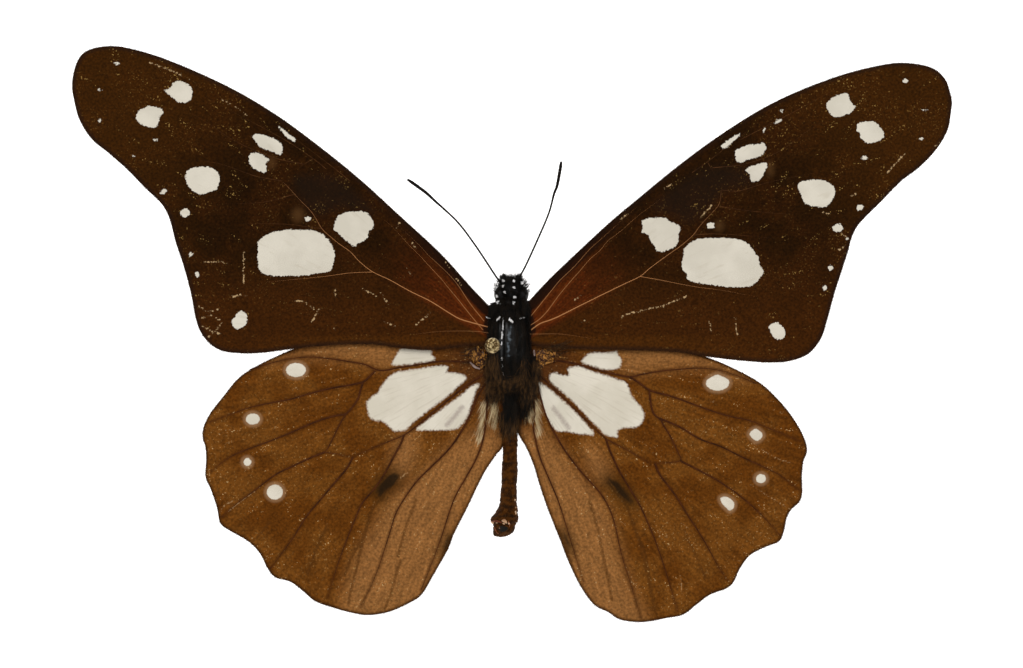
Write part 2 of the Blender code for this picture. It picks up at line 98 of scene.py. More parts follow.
THORAX_LOW, THORAX_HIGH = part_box("thorax")
THORAX = (THORAX_LOW + THORAX_HIGH) / 2
THORAX_LEVEL = 25.25 * MM
THORAX_HALF = (1.83 * MM, 4.05 * MM, 2.05 * MM)
HEAD_LEVEL = THORAX_LEVEL + 0.15 * MM
HEAD_X, HEAD_Y = (float(place) for place in at(*HEAD_PX))
HEAD_HALF = (0.98 * MM, 1.02 * MM, 1.05 * MM)
FURROW_X = THORAX.x - 0.55 * MM
LAP_Y = THORAX.y - 1.9 * MM

LEFT_FOREWING_MARGIN = [
    (489, 306), (470, 286), (440, 253), (400, 216), (360, 179.5), (320, 147), (280, 117.5), (240, 93),
    (200, 73.5), (160, 57.3), (130, 48.7), (112, 46.3), (95, 48.3), (83, 54), (76, 66), (72.5, 84),
    (74.5, 100), (80, 120), (92, 139), (110, 154), (128, 170), (146, 188.5), (162, 204), (170, 219),
    (176, 242), (184, 266), (191, 292), (196, 318), (201, 332), (210, 343.5), (222, 350.7), (240, 353.2),
    (262, 352.8), (294, 348.7), (320, 346), (350, 344.4), (376, 344.6), (400, 348), (430, 350),
    (458, 347.3), (484, 345),
]
RIGHT_FOREWING_MARGIN = [
    (529, 301), (550, 278.5), (580, 249.9), (610, 222.2), (640, 197.1), (670, 172.4), (700, 149.4),
    (730, 128.6), (760, 110), (790, 94.9), (820, 82.7), (850, 72.6), (880, 65.5), (900, 63.1),
    (920, 64.9), (935, 70), (945, 79.9), (949.5, 92.3), (951.5, 102), (950, 116.3), (947, 130.4),
    (937, 148), (920, 166.4), (900, 181.9), (880, 202.3), (860, 222.4), (852, 235.9), (847.5, 252),
    (841.6, 270), (834, 293.8), (827, 319.2), (820.6, 338.5), (808, 353.8), (790, 360.8), (770, 362.5),
    (740, 360.5), (706, 356.5), (680, 352.4), (650, 350.7), (620, 350), (590, 349.3), (560, 348),
    (536, 346),
]
LEFT_HINDWING_MARGIN = [
    (483, 341), (462, 324), (430, 317), (390, 318), (350, 328), (320, 338.5), (294, 348.7), (262, 363.3),
    (240, 377), (225, 394.5), (210, 414), (203.5, 428), (203, 438), (205.8, 448), (206.3, 462),
    (205.7, 477), (211, 489), (217, 507), (220.5, 523), (230, 530.5), (248, 541), (260, 553), (267, 567),
    (275, 577), (290, 581.5), (302, 590), (315, 601), (330, 606.5), (343, 610.5), (357, 613.7),
    (370, 615), (390, 611.5), (410, 602.5), (422, 594), (434, 574), (448, 549), (454, 533.5),
    (467, 508), (483, 475), (496, 455), (503, 446), (505, 430), (506, 412), (506, 400),
]
RIGHT_HINDWING_MARGIN = [
    (536, 341), (556, 324), (590, 318), (625, 325), (655, 336), (680, 346.5), (706.3, 356.9),
    (730, 366.7), (760, 383), (782, 404), (796, 422.8), (804.3, 438.6), (806.8, 451.1), (803, 462),
    (801.7, 476), (802, 493), (799, 502), (791, 509.5), (786.5, 518), (784, 530), (779, 541), (765, 547),
    (750, 555), (740, 568), (733.9, 581), (727, 588), (710, 594.5), (697, 604), (683, 614.5), (666, 618),
    (650, 621.2), (637, 622), (620, 619.5), (608, 612), (594.4, 604.9), (581.3, 587.5), (569.4, 563.5),
    (560, 539.5), (548.7, 511.2), (540.3, 487), (535.6, 471), (531, 458), (525.4, 446), (520.5, 438),
    (517.5, 430), (517.5, 415), (518, 400),
]

# Forewing veins: the bare, tan stems near the root, and those that stay under the dark scales
LEFT_FOREWING_STEMS = [
    [(484, 321), (470, 303.5), (459, 286.6), (451, 276.7), (440, 265.8), (429, 255.8), (419, 245),
     (399, 226), (380, 208), (350, 181)],
    [(483, 330), (472, 317), (459, 300.6), (449, 288.6), (441, 278.7), (429, 265.8), (420, 255.8),
     (409, 245), (399, 234), (389, 224), (379.5, 216), (369.5, 206), (350, 188), (326, 169)],
    [(488, 327), (477, 324), (468, 321.5), (460, 319), (450, 313.5), (430, 301), (410, 291.2), (390, 280),
     (373, 272), (360, 262), (350, 251.5), (340, 244.5), (330, 236.3), (322, 228.7), (312, 212.6),
     (300, 200), (290, 189), (283, 182)],
    [(489, 333), (478, 331.5), (460, 331), (440, 331.5), (420, 333.5), (400, 336), (380, 336.5), (350, 335),
     (320, 333.5), (290, 334), (250, 337), (212, 337)],
    [(373, 272), (350, 273), (330, 275.8), (310, 278), (280, 281), (240, 286), (200, 295)],
]
LEFT_FOREWING_VEINS = [
    [(350, 181), (330, 165), (270, 121), (222, 97)],
    [(326, 169), (315, 160), (290, 143), (250, 121), (190, 90), (130, 64), (95, 56)],
    [(313, 159), (299, 168), (288, 181)],
    [(303, 164), (275, 158), (235, 141), (190, 113), (140, 98), (84, 88)],
    [(282, 181), (255, 176), (220, 164), (180, 158), (145, 156), (122, 160)],
    [(296, 194), (265, 202), (230, 204), (195, 205), (172, 209)],
    [(322, 228.7), (305, 226.5), (285, 224.2), (245, 224), (210, 228), (182, 235)],
]
RIGHT_FOREWING_STEMS = [
    [(531, 316), (550, 292.4), (560, 280.2), (573.6, 267.2), (590, 249), (600, 240), (621, 221),
     (637, 207.4), (660, 193.5), (692, 172.7)],
    [(531, 325), (540, 318.7), (547.7, 310.6), (560, 294), (570, 282), (580, 270.7), (590, 259.1),
     (600.5, 250), (607.5, 241.2), (620, 231.7), (638.6, 215.3), (656, 202.3), (680, 179.7), (700, 166.7),
     (716, 157), (740, 140)],
    [(531, 330), (540, 323.6), (550, 320.1), (560, 315.8), (580, 305.7), (600, 295.8), (620, 286),
     (640, 276.4), (650, 268.1), (670, 253.4), (680, 246.4), (693, 235.2), (700, 225.7), (710.4, 214.4),
     (719, 204), (721, 191)],
    [(530, 334), (540, 334), (560, 334), (580, 336.6), (600, 340), (620, 343), (650, 343), (680, 342.3),
     (725, 343), (760, 347), (800, 351)],
    [(640, 276.5), (660, 280), (680, 284), (700, 287.5), (720, 290), (760, 297), (822, 303)],
]
RIGHT_FOREWING_VEINS = [
    [(692, 172.7), (710, 160), (760, 122), (805, 98)],
    [(740, 140), (790, 114), (840, 88), (890, 74), (925, 74)],
    [(708, 163), (715, 176), (720, 189)],
    [(712, 168), (745, 164), (780, 151), (820, 124), (865, 118), (905, 106), (940, 104)],
    [(721, 190), (730, 190.8), (740, 190.8), (770, 182), (810, 174), (850, 166), (900, 170)],
    [(717, 206), (750, 211), (790, 214), (830, 212), (858, 213)],
    [(693, 235.2), (715, 234), (760, 237), (800, 243), (838, 250)],
]
LEFT_HINDWING_VEINS = [
    [(484, 364), (470, 362), (440, 361.5), (420, 364.5), (400, 367.5), (380, 370.5), (365, 364.5),
     (350, 361.7), (328, 358.5), (310, 357), (290, 358.7), (270, 363.5), (250, 369.5)],
    [(375, 371), (368, 378), (363, 382), (350, 385), (330, 388.5), (310, 393.5), (290, 399.3),
     (270, 403), (250, 407.5), (230, 414.5), (210, 422)],
    [(363, 382), (360, 392), (358, 399), (351, 409), (346, 414), (341, 422), (336, 432), (328, 448),
     (325, 452), (335, 453.5), (345, 456), (353, 457)],
    [(346, 414), (330, 417), (310, 424), (290, 433), (270, 441), (243, 451), (232, 456), (220, 464),
     (211, 472)],
    [(325, 452), (310, 458), (293, 466), (275, 475), (254, 491), (235, 505), (222, 517)],
    [(353, 457), (347, 468), (337, 480), (321, 499), (306, 517), (295, 535), (285, 549), (270, 569)],
    [(485, 374), (478, 378), (463, 388), (447, 401), (432, 413), (418, 425), (404, 435), (390, 441),
     (370, 449), (353, 457)],
    [(404, 435), (401, 443), (393, 458), (385, 473), (375, 488), (363, 502), (358, 512), (349, 534),
     (341, 555), (335, 573), (327.5, 598)],
    [(484, 385), (478, 395), (470, 415), (461, 432), (449, 449), (431, 467), (417, 481), (406, 496),
     (396, 513), (390, 532), (384, 551), (378, 569), (370, 588), (361, 606)],
    [(487, 385), (487, 405), (484, 435), (477, 457), (465, 479), (456, 495), (449, 513), (443, 532),
     (437, 549), (431, 565), (421, 590)],
]
RIGHT_HINDWING_VEINS = [
    [(534, 366), (540, 365), (553.6, 360.8), (570, 362.7), (590, 367.6), (610, 373), (629.8, 377),
     (640, 374.7), (660, 371.2), (680, 369.2), (700, 368.1), (720, 370.5), (740, 376.8), (755.9, 383.6)],
    [(629.8, 377), (640, 383.4), (650, 390.5), (670, 396), (690, 403), (710, 410.3), (730, 416.3),
     (750, 420.6), (770, 428.8), (800, 440.8)],
    [(649.4, 391), (650.5, 401.9), (653.8, 413.9), (661, 420), (663.3, 425), (670, 435.9),
     (678.5, 453.3), (680.7, 460.4), (670, 462.4), (654.9, 463.4)],
    [(660, 418.6), (680, 427.1), (700, 439.1), (720, 446.2), (740, 456), (760, 465.3), (779.8, 475.1),
     (798.4, 489.8)],
    [(680.7, 461), (700, 470.8), (720, 482), (740, 496), (760, 513.4), (780, 535.2)],
    [(654.9, 463.4), (660, 474.9), (675.6, 495.6), (688, 515.6), (703.4, 539.5), (719.7, 569),
     (727.9, 581)],
    [(536, 370.8), (540, 375.8), (560, 394.3), (580, 413.9), (600, 433.5), (610, 441.1), (630, 451.5),
     (650, 463.4)],
    [(605.9, 438.9), (610, 450.9), (619, 470.5), (630, 489), (640.1, 505.8), (649.9, 527.5),
     (657.6, 547.1), (666.3, 573.3), (677.8, 611.4)],
    [(534, 377), (536.2, 381.2), (540, 395.4), (545.9, 415), (553.6, 431.3), (564.5, 449.8),
     (580, 470.5), (598.5, 491), (608.6, 506.8), (615.1, 525.4), (621.7, 554.8), (631.5, 586.4),
     (640.7, 616.9)],
    [(533, 392), (534.5, 415), (533.4, 428), (539.4, 455.3), (549.2, 479.2), (559.6, 504.7),
     (569.4, 536.3), (578.1, 564.6), (583.5, 582)],
]


def oval(x, y, width, height, tilt=0):
    """A small round spot's outline: centre and full size in pixels, its right end up by tilt degrees."""
    turn, ring = math.radians(tilt), []
    for i in range(10):
        a = 2 * math.pi * i / 10
        across, up = width / 2 * math.cos(a), height / 2 * math.sin(a)
        ring.append((x + across * math.cos(turn) - up * math.sin(turn),
                     y - across * math.sin(turn) - up * math.cos(turn)))
    return ring


LEFT_FOREWING_SPOTS = [
    [(164, 91), (171, 88), (173, 83), (180, 81), (186, 83), (190, 86), (193, 91), (192, 97), (190, 101),
     (185, 103), (178, 102), (173, 98), (168, 94)],
    [(137, 114), (140, 110), (146, 108), (148, 106), (155, 107), (162, 109), (163.5, 113), (160, 117),
     (159, 122), (157, 127), (150, 127.5), (143, 125), (137, 120)],
    [(186, 178), (187, 172), (192, 168.5), (200, 167), (208, 167), (214, 169), (219, 174), (220.5, 179),
     (219, 184), (217, 190), (210, 192), (205, 194), (198, 194), (192, 190), (188, 185)],
    [(241, 310.5), (245, 312), (247, 317), (247, 323), (243, 327), (237, 329), (233, 326), (232, 321),
     (235, 317), (238, 313)],
    [(278, 126), (283, 129), (290, 135), (296, 139), (294, 142), (288, 138), (282, 132)],
    [(253, 136), (258, 134), (263, 135), (270, 137), (277, 140), (282, 145), (283, 150), (281, 155),
     (275, 153), (267, 150), (260, 147), (256, 142)],
    [(250, 154), (257, 153), (264, 156), (270, 160), (266, 163), (267, 168), (265, 173), (258, 171),
     (252, 167), (249, 161)],
    [(338, 216), (343, 214), (348, 211.5), (356, 211.5), (363, 211.5), (368, 214), (373, 221),
     (373, 229), (369, 231), (368, 237), (362, 242), (358, 243), (355, 247), (349, 243), (343, 238),
     (338, 233), (334, 230), (334, 225), (336, 220)],
    [(258, 249), (258, 243), (260, 240), (266, 235), (275, 231.5), (282, 231), (290, 229.5), (300, 230),
     (310, 230), (318, 232), (325, 236), (330, 242), (333, 247), (335, 254), (334, 262), (332, 269),
     (327, 272), (318, 273), (308, 275), (298, 276), (285, 276), (272, 276), (264, 274), (260, 270),
     (258, 262)],
    oval(117, 63.5, 6, 2.5), oval(100, 90, 5, 2), oval(100, 121, 3.5, 4), oval(156, 140.5, 5, 2.5),
    oval(134, 156.5, 3, 2), oval(163.5, 192, 8, 4.5, 30), oval(185.5, 213, 9.5, 9),
    oval(191, 254.5, 4.5, 4.5), oval(197.5, 274.5, 4, 6), oval(308, 219, 7, 5),
]
RIGHT_FOREWING_SPOTS = [
    [(825.8, 104.3), (830.3, 99.4), (835.9, 95.8), (844.4, 93.4), (848.3, 94.4), (848.9, 99.4),
     (851.4, 103.6), (855.4, 107.1), (852.8, 109.9), (849.3, 113.5), (841.6, 116.3), (835.9, 117.4),
     (831.7, 115.6), (827.5, 110.6)],
    [(857.8, 124), (864.1, 121.9), (873.3, 121.9), (878.9, 126.2), (881.8, 129.7), (883.9, 134.6),
     (883.2, 138.2), (879.6, 140.3), (872.6, 142.8), (867, 143.4), (863.4, 141), (859.9, 137.4),
     (859.2, 133.2), (856, 130.4)],
    [(797.1, 185.4), (800.7, 181.9), (807.7, 180.5), (816.2, 179.8), (823.2, 180.5), (830.3, 184),
     (834.8, 189.6), (833.8, 196.7), (830.3, 203), (824.6, 206.8), (819, 207.3), (810.5, 205.9),
     (803.5, 202.3), (801.4, 196.7), (799, 191)],
    [(769.2, 326.2), (772.3, 323.1), (776.9, 322.3), (780.8, 325.4), (784.6, 330), (784.9, 335.4),
     (782.3, 338.5), (776.9, 339.2), (773.1, 336.9), (769.5, 330.8)],
    [(721, 145.9), (722.7, 148.9), (728.8, 145.9), (733.1, 141.6), (740.4, 134.7), (739.7, 133.3),
     (734, 136.4), (725.3, 142.5)],
    [(734.8, 152), (736.6, 160.7), (740.2, 162.7), (749.9, 159.3), (759.7, 156.5), (764.7, 151.6),
     (766.1, 147.3), (763.3, 142.4), (757.6, 144.2), (749.9, 144.8), (740, 148)],
    [(744.9, 170.2), (749.2, 167.3), (758.3, 164.2), (765.4, 162.8), (766.8, 167.1), (764.7, 171.3),
     (761.9, 177.6), (757.6, 180.9), (751.3, 181.9), (750.2, 177.6), (749.2, 174.1)],
    [(641.8, 221.3), (647.3, 218.2), (656, 217.5), (666.4, 218.7), (671.6, 222.2), (678.5, 225.7),
     (680.6, 230), (678.2, 234.3), (678.5, 240.4), (674.2, 247.3), (669, 249.4), (662.9, 251.6),
     (656.8, 250.8), (654.2, 245.6), (650.8, 241.2), (647.3, 234.3), (641.8, 232.6), (643, 228.2)],
    [(683.8, 249.2), (687.7, 244.6), (693.8, 240.8), (700, 238.5), (712.3, 238.2), (727.7, 238.2),
     (738.5, 239.7), (745.4, 242.3), (750.8, 246.9), (754.6, 252.3), (758.5, 258.5), (760.3, 266.2),
     (763.8, 272.3), (760.8, 276.2), (757.7, 280.8), (752.3, 285.4), (746.2, 286.9), (733.8, 287.2),
     (720, 286.2), (709.2, 284.6), (700, 283.4), (692.3, 281.5), (686.2, 279.2), (686.9, 273.8),
     (683.1, 270.8), (681.5, 264.6), (683.1, 256.9)],
    oval(904.7, 81, 5.5, 4), oval(924.3, 110.2, 7.5, 2), oval(921, 139, 4, 3), oval(864.1, 157.9, 6.5, 4),
    oval(859.6, 207.5, 8, 5.5, 25), oval(837.6, 228, 11, 8), oval(847, 239, 4, 2), oval(830.2, 268, 5, 6),
    oval(824.3, 287.7, 4.5, 5), oval(710.5, 225.8, 8, 7), oval(781.2, 110.9, 3, 3),
    oval(777.5, 121.5, 9, 3.2, 28), oval(763.5, 130.5, 6, 1.8, 60),
]
LEFT_HINDWING_SPOTS = [
    oval(296, 370, 20, 14), oval(253, 419, 14, 11), oval(247.5, 462, 8, 8), oval(275, 492, 16, 15),
]
RIGHT_HINDWING_SPOTS = [
    [(705.8, 383), (707.9, 379.2), (712.3, 376.5), (717.7, 374.6), (722.1, 376.5), (727, 378.7),
     (729.5, 381.9), (727.5, 386.8), (723.2, 389.6), (716.6, 390.6), (710.1, 389), (706.8, 385.8)],
    [(749.5, 434), (756, 428.8), (762.6, 435), (756.5, 441)],
    oval(760.8, 478.6, 10, 9),
    [(720.3, 498.1), (724.1, 496.5), (728.4, 497.6), (732.2, 500.3), (734.1, 503.6), (733.3, 507.9),
     (730.1, 510.7), (726.3, 507.9), (723, 504.7), (720.8, 500.8)],
]
LEFT_HINDWING_PATCHES = [
    [(367, 403), (372, 397), (378, 393), (380, 389), (384, 383), (388, 378), (392, 375), (398, 372),
     (405, 371), (415, 369.5), (425, 368), (435, 366.5), (443, 366), (448, 367), (446, 372), (452, 373),
     (460, 374), (466, 377), (464, 381), (459, 385), (453, 391), (446, 397), (438, 403), (430, 409),
     (422, 415), (415, 421), (408, 427), (404, 430), (395, 431), (391, 428), (387, 424), (383, 421),
     (375, 420), (370, 417), (368, 411)],
    [(393, 365), (393, 362), (396, 356), (400, 350), (404, 348.5), (415, 349), (430, 350), (431, 355),
     (435, 359), (430, 361), (420, 362.5), (410, 364)],
    [(479, 384), (476, 390), (474, 396), (472, 402), (470, 408), (468, 414), (465, 420), (460, 426),
     (455, 429), (440, 430), (420, 430), (417, 429), (424, 423), (432, 417), (440, 411), (448, 405),
     (456, 399), (464, 393), (472, 386)],
]
RIGHT_HINDWING_PATCHES = [
    [(590, 353.4), (597.2, 352.7), (609.9, 352.7), (616.2, 351.2), (617.9, 355.6), (620.6, 358.3),
     (620.9, 362.7), (618.9, 367.6), (609.9, 369.4), (602.6, 368.7), (595, 366.5), (586.3, 363.8),
     (581.9, 361), (585.2, 357.2)],
    [(550, 375.2), (553.6, 373), (557.9, 373.6), (561.2, 375.2), (569.4, 375.2), (567.7, 369.2),
     (571, 367.6), (579.7, 366.8), (590, 370.9), (600.4, 374.1), (609.9, 376.8), (618.9, 380.1),
     (625.5, 382.3), (628.7, 388.8), (630.9, 395.4), (635.3, 400.8), (640.7, 407.3), (643.8, 412.8),
     (643.4, 418.8), (640.7, 423.7), (635.3, 427), (627.6, 427), (621.1, 428.6), (616.8, 430.8),
     (617.3, 437.3), (613.5, 436.2), (608, 435.7), (603.7, 433.5), (600, 429.1), (590, 419.3),
     (580, 408.4), (570, 398.6), (560, 389.4), (551.4, 382.3), (549.4, 377.9)],
    [(537.2, 382.3), (540, 391), (541.6, 399.7), (543.8, 408.4), (547, 416), (550, 421.5), (553.6, 427),
     (559, 431.3), (566.6, 431.3), (573.2, 432.4), (579.7, 434), (586.3, 434), (592.8, 435.1),
     (593.9, 432.9), (588.4, 427), (580.8, 418.2), (569.9, 407.3), (560, 398.6), (550, 389.9),
     (542.7, 384.5)],
]

# Cream streaks beside the hindwing's root veins
LEFT_HINDWING_STREAKS = [[(484, 404), (482, 420), (478.5, 440)], [(492.5, 394), (494, 410), (492.5, 426)]]
RIGHT_HINDWING_STREAKS = [[(536.5, 402), (537.5, 418), (539, 434)], [(531.5, 394), (530.5, 408), (530, 420)]]

# Grey streaks on the white patches
LEFT_HINDWING_GREYS = [[(447, 425), (455, 416), (462, 407)]]
RIGHT_HINDWING_GREYS = [[(553.6, 408.4), (561, 418), (568.8, 428)]]

# Brown smudges beside the forewing's spots
LEFT_FOREWING_SMUDGES = [oval(298, 215, 10, 12), oval(272, 163, 5, 9)]
RIGHT_FOREWING_SMUDGES = [oval(719, 226, 7, 8), oval(770, 169, 5, 12)]

# The blackest part of each forewing, in its cell
LEFT_SOOT = [(296, 178), (330, 176), (352, 190), (372, 212), (340, 208), (318, 214), (300, 196)]
RIGHT_SOOT = [
    (655, 205), (690, 178), (715, 168), (748, 172), (748, 186), (725, 190), (712, 204), (690, 222),
    (672, 214),
]

# The scent brand on each hindwing, and a dark smudge by the inner margin
LEFT_BRANDS = [
    [(376, 492), (380, 484), (387, 476), (396, 473), (399, 477), (395, 484), (387, 491), (380, 496)],
    oval(447.5, 545, 20, 3.4, 68),
]
RIGHT_BRANDS = [
    [(607, 478), (612, 480), (618, 482), (623, 487), (629, 494), (633, 501), (630, 503), (624, 499),
     (619, 495), (613, 488), (607, 483)],
    oval(566, 541, 18, 3.4, -68),
]

# The pale fields: between the hindwing's last veins, beside the brand, and along the leading margin
LEFT_PALE_FIELDS = [
    [(500, 430), (470, 432), (440, 455), (410, 482), (390, 500), (375, 525), (355, 560), (345, 590),
     (343, 612), (370, 618), (400, 612), (425, 598), (445, 560), (470, 505), (500, 455)],
    [(398, 440), (412, 432), (416, 452), (410, 472), (398, 480), (392, 466)],
    [(396, 346), (350, 338), (318, 344), (270, 362), (300, 357), (350, 360), (394, 366)],
]
RIGHT_PALE_FIELDS = [
    [(520, 430), (545, 432), (565, 455), (590, 485), (608, 510), (618, 545), (630, 585), (645, 622),
     (610, 622), (585, 600), (563, 560), (545, 510), (528, 460)],
    [(586, 448), (598, 450), (608, 468), (606, 482), (596, 478), (588, 464)],
    [(622, 348), (660, 342), (700, 356), (745, 378), (700, 367), (660, 370), (626, 372)],
]

# Where the forewing turns paler towards its lower edge, and again below its last stem
LOWER_HALF = [at(0, y)[1] for y in (235, 330)]
LOWER_STRIP = [at(0, y)[1] for y in (333, 339)]

# Rubbed lines and flecks
LEFT_FOREWING_SCUFFS = [
    [(222, 100), (235, 107), (248, 116)], [(190, 79), (170, 70), (150, 63)], [(244, 252), (244, 283)],
    [(232, 297), (240, 295), (247, 296)], [(205, 262), (216, 262), (226, 263)],
    [(200, 306), (208, 312), (218, 309)], [(203, 318), (212, 316), (220, 320)],
    [(203, 326), (210, 330), (220, 334)], [(208, 337), (216, 331), (222, 322)],
    [(296, 301), (304, 302), (314, 309)], [(406, 265), (411, 275)], [(415, 326), (421, 321), (430, 313)],
    [(397, 228), (400, 222)], [(456, 278), (461, 285)], [(381, 293), (388, 304)], [(385, 322), (395, 326)],
    [(446, 262), (450, 268)], [(412, 243), (416, 248)], [(335, 290), (335, 297)], [(334, 320), (334, 330)],
    [(362, 289), (376, 296)], [(320, 308), (312, 322)],
]
RIGHT_FOREWING_SCUFFS = [
    [(620, 317.5), (630, 313.2), (640, 311), (650, 308.5), (663, 305.9), (676.8, 300), (687, 296)],
    [(621, 219), (627, 214)], [(664, 189), (671, 184)], [(700, 218), (712, 205)], [(580, 320), (587, 322)],
    [(575, 300), (580, 296)], [(850, 197), (856, 193)], [(838, 250), (844, 247)], [(822, 212), (829, 214)],
    [(837.6, 230), (848.6, 239)], [(708, 320), (712, 331.5)], [(735, 318), (737, 336)],
    [(904, 154), (887, 173)], [(940, 141), (932, 150)],
]
LEFT_HINDWING_FOLDS = [
    [(384, 496), (375, 505), (370, 515), (362, 545), (358, 562), (355, 575), (348, 603)],
    [(372, 508), (364, 535), (352, 556), (345, 575)], [(327, 525), (318, 545), (307, 575)],
    [(270, 522), (255, 540)], [(400, 560), (392, 590), (384, 610)], [(452, 535), (440, 562)],
    [(416, 500), (405, 530), (398, 556)],
]
RIGHT_HINDWING_FOLDS = [
    [(624, 500), (632, 520), (640, 545), (648, 580), (655, 610)], [(636, 530), (645, 555), (652, 590)],
    [(684, 530), (694, 552), (706, 578)], [(559, 530), (568, 554), (575, 575)],
    [(589, 500), (598, 530), (606, 570), (612, 600)],
]
LEFT_HINDWING_SCUFFS = [
    [(255, 491), (240, 502), (228, 512)], [(400, 478), (408, 472)], [(293, 389), (297, 387)],
    [(236, 500), (226, 504), (220, 512)],
]
RIGHT_HINDWING_SCUFFS = [
    [(751, 441), (770, 455), (790, 463)], [(750, 484), (770, 497), (790, 509)],
    [(654.3, 521), (659.7, 536.3)], [(680, 575.5), (682.7, 595.1)], [(598, 535), (602, 538)],
    [(681, 523), (688, 528)], [(665, 531), (667, 538)], [(711, 402), (715, 401)],
]


# The abdomen: (x, y, width) in pixels down its length, and where its rings start, as shares of the length
ABDOMEN_PX = [
    (510.5, 400, 12), (510.5, 407, 16), (510.3, 420, 15.5), (510.3, 433, 14.5), (510.2, 445, 15.5),
    (510, 458, 15), (509.7, 470, 17), (509.3, 481, 15.5), (508.8, 491, 17), (508.3, 501, 17.5),
    (507.5, 510, 21.5), (504.3, 519, 28.5), (504.4, 526.5, 23), (503, 532.5, 20), (500.8, 535.8, 14),
    (500.8, 537.3, 1),
]
RING_STARTS = (0.06, 0.20, 0.33, 0.46, 0.585, 0.70, 0.775, 0.845)

# The red ridge across the abdomen's open end, and low raised ridges on the claspers and the abdomen's side
# whose pale colour is painted highlight: (line, half width in mm)
TAIL_RIDGE = [
    ([(491.5, 522), (496, 521), (502, 522.5)], 0.09), ([(508, 521), (509.5, 524), (509.5, 527)], 0.06),
    ([(494.5, 527), (496, 531), (498.5, 534)], 0.05),
]
TAIL_PAINTED_HIGHLIGHTS = [
    ([(501.8, 520.6), (504.5, 520.8), (506.5, 523)], 0.15), ([(491.4, 521.8), (493.8, 523)], 0.12),
    ([(502.5, 523), (505, 524)], 0.08), ([(496, 523), (497.5, 522.4)], 0.07),
    ([(499.2, 526.8), (499.6, 528.6), (499.4, 530.2)], 0.08), ([(508, 522.6), (509.6, 524.2)], 0.09),
    ([(515.6, 506.6), (515.9, 508.4)], 0.07), ([(515.4, 511), (515.9, 514.4)], 0.08),
    ([(515, 499), (515, 501)], 0.06),
]

# The wing hinges' wrinkled plates: (place, half sizes in mm), and their ridges: (line, half width in mm)
HINGE_PLATES = [
    ((477, 354), (0.80, 0.70)), ((481, 364), (0.50, 0.42)), ((469, 352), (0.45, 0.35)),
    ((544, 356), (0.75, 0.72)), ((539, 366), (0.42, 0.42)), ((553, 354), (0.42, 0.34)),
]
HINGE_RIDGES = [
    ([(472, 349), (478, 352), (484, 349)], 0.11), ([(473, 354), (479, 357), (485, 354)], 0.10),
    ([(475, 360), (481, 358), (486, 360)], 0.10), ([(485, 345), (487, 352), (486, 358)], 0.09),
    ([(478, 346), (480, 352), (479, 358)], 0.08), ([(466, 352), (472, 356), (474, 363)], 0.08),
    ([(539, 352), (539.5, 364)], 0.12), ([(543, 354), (546, 355), (547, 358)], 0.17),
    ([(548, 350), (553, 356), (551, 363)], 0.09), ([(541, 366), (547, 363), (556, 361)], 0.09),
    ([(556, 352), (560, 357), (568, 358)], 0.07),
]
PALE_HINGE_RIDGES = [
    ([(470, 362), (475, 367), (480, 369)], 0.10), ([(482, 350), (484, 356)], 0.07),
    ([(534, 350), (534.5, 356)], 0.11),
]

# The line of the blue-grey highlight painted along the thorax's crest
PAINTED_CREST_HIGHLIGHT = [(511, 327), (509.5, 338), (508.5, 345), (508, 356)]

# White scale tufts on the head: (x, y, across, along) in pixels
HEAD_DOTS = [
    (514, 280.8, 2.4, 3.6), (514.2, 287.4, 2.4, 3.8), (522.5, 282.9, 3.4, 3.4),
    (514.8, 297.2, 2.2, 2.2), (513.5, 302.6, 3.2, 3.6), (503.2, 280.6, 3.0, 2.6), (503, 286, 1.6, 1.6),
    (504.5, 292.3, 3.2, 2.2), (496.9, 296.1, 2.2, 1.8), (497.4, 302.2, 3.6, 2.6),
]
# White lines on the thorax: (line in pixels, half width and height above the skin in mm)
THORAX_DASHES = [
    ([(496.8, 319.6), (500.2, 316.6)], 0.030, 0.36), ([(509.8, 319.4), (512.6, 321.4)], 0.050, 0.36),
    ([(503.2, 317.5), (502.7, 329.5)], 0.020, 0.10), ([(502.2, 332), (501.8, 338)], 0.028, 0.08),
    ([(501.5, 342), (501.2, 348)], 0.022, 0.08), ([(501.8, 357), (502, 359.5)], 0.016, 0.06),
    ([(502.2, 364), (502.4, 366.5)], 0.014, 0.06), ([(502.6, 371), (503, 374)], 0.014, 0.06),
    ([(486, 316.4), (488, 317.4), (490, 317.6)], 0.010, 0.30), ([(519.5, 318), (524.5, 316.8)], 0.008, 0.30),
]

# Beds of long hair: (outline, the way it is combed with y down, length in mm, count, lift in mm)
COLLAR_BEDS = [
    ([(496, 299), (528, 299), (531, 318), (487, 318), (490, 306)], (0, 1), 0.7, 850, 0.35),
    ([(496, 296), (526, 296), (526, 304), (496, 304)], (0, 1), 0.6, 400, 0.45),
    ([(488, 318), (499, 318), (498, 348), (487, 350)], (-0.1, 1), 0.6, 420, 0.12),
    ([(514, 318), (530, 318), (531, 352), (516, 352)], (0.1, 1), 0.6, 420, 0.10),
]
BACK_BEDS = [
    ([(498, 356), (531, 352), (530, 385), (498, 385)], (-0.1, 1), 0.9, 800, 0.18),
    ([(502, 386), (529, 386), (527, 412), (504, 414)], (0.05, 1), 1.1, 900, 0.35),
    ([(524, 352), (535, 352), (533, 400), (524, 400)], (0, 1), 1.2, 600, 0.2),
    ([(484, 350), (500, 350), (500, 392), (488, 396)], (0.05, 1), 1.2, 500, 0.12),
    ([(499, 284), (523, 284), (522, 279), (500, 279)], (0, -1), 0.55, 420, 0.25),
    ([(495, 286), (500, 280), (503, 292), (496, 296)], (-0.7, -0.7), 0.45, 120, 0.3),
    ([(521, 280), (525, 284), (527, 296), (520, 292)], (0.8, -0.6), 0.55, 140, 0.3),
]
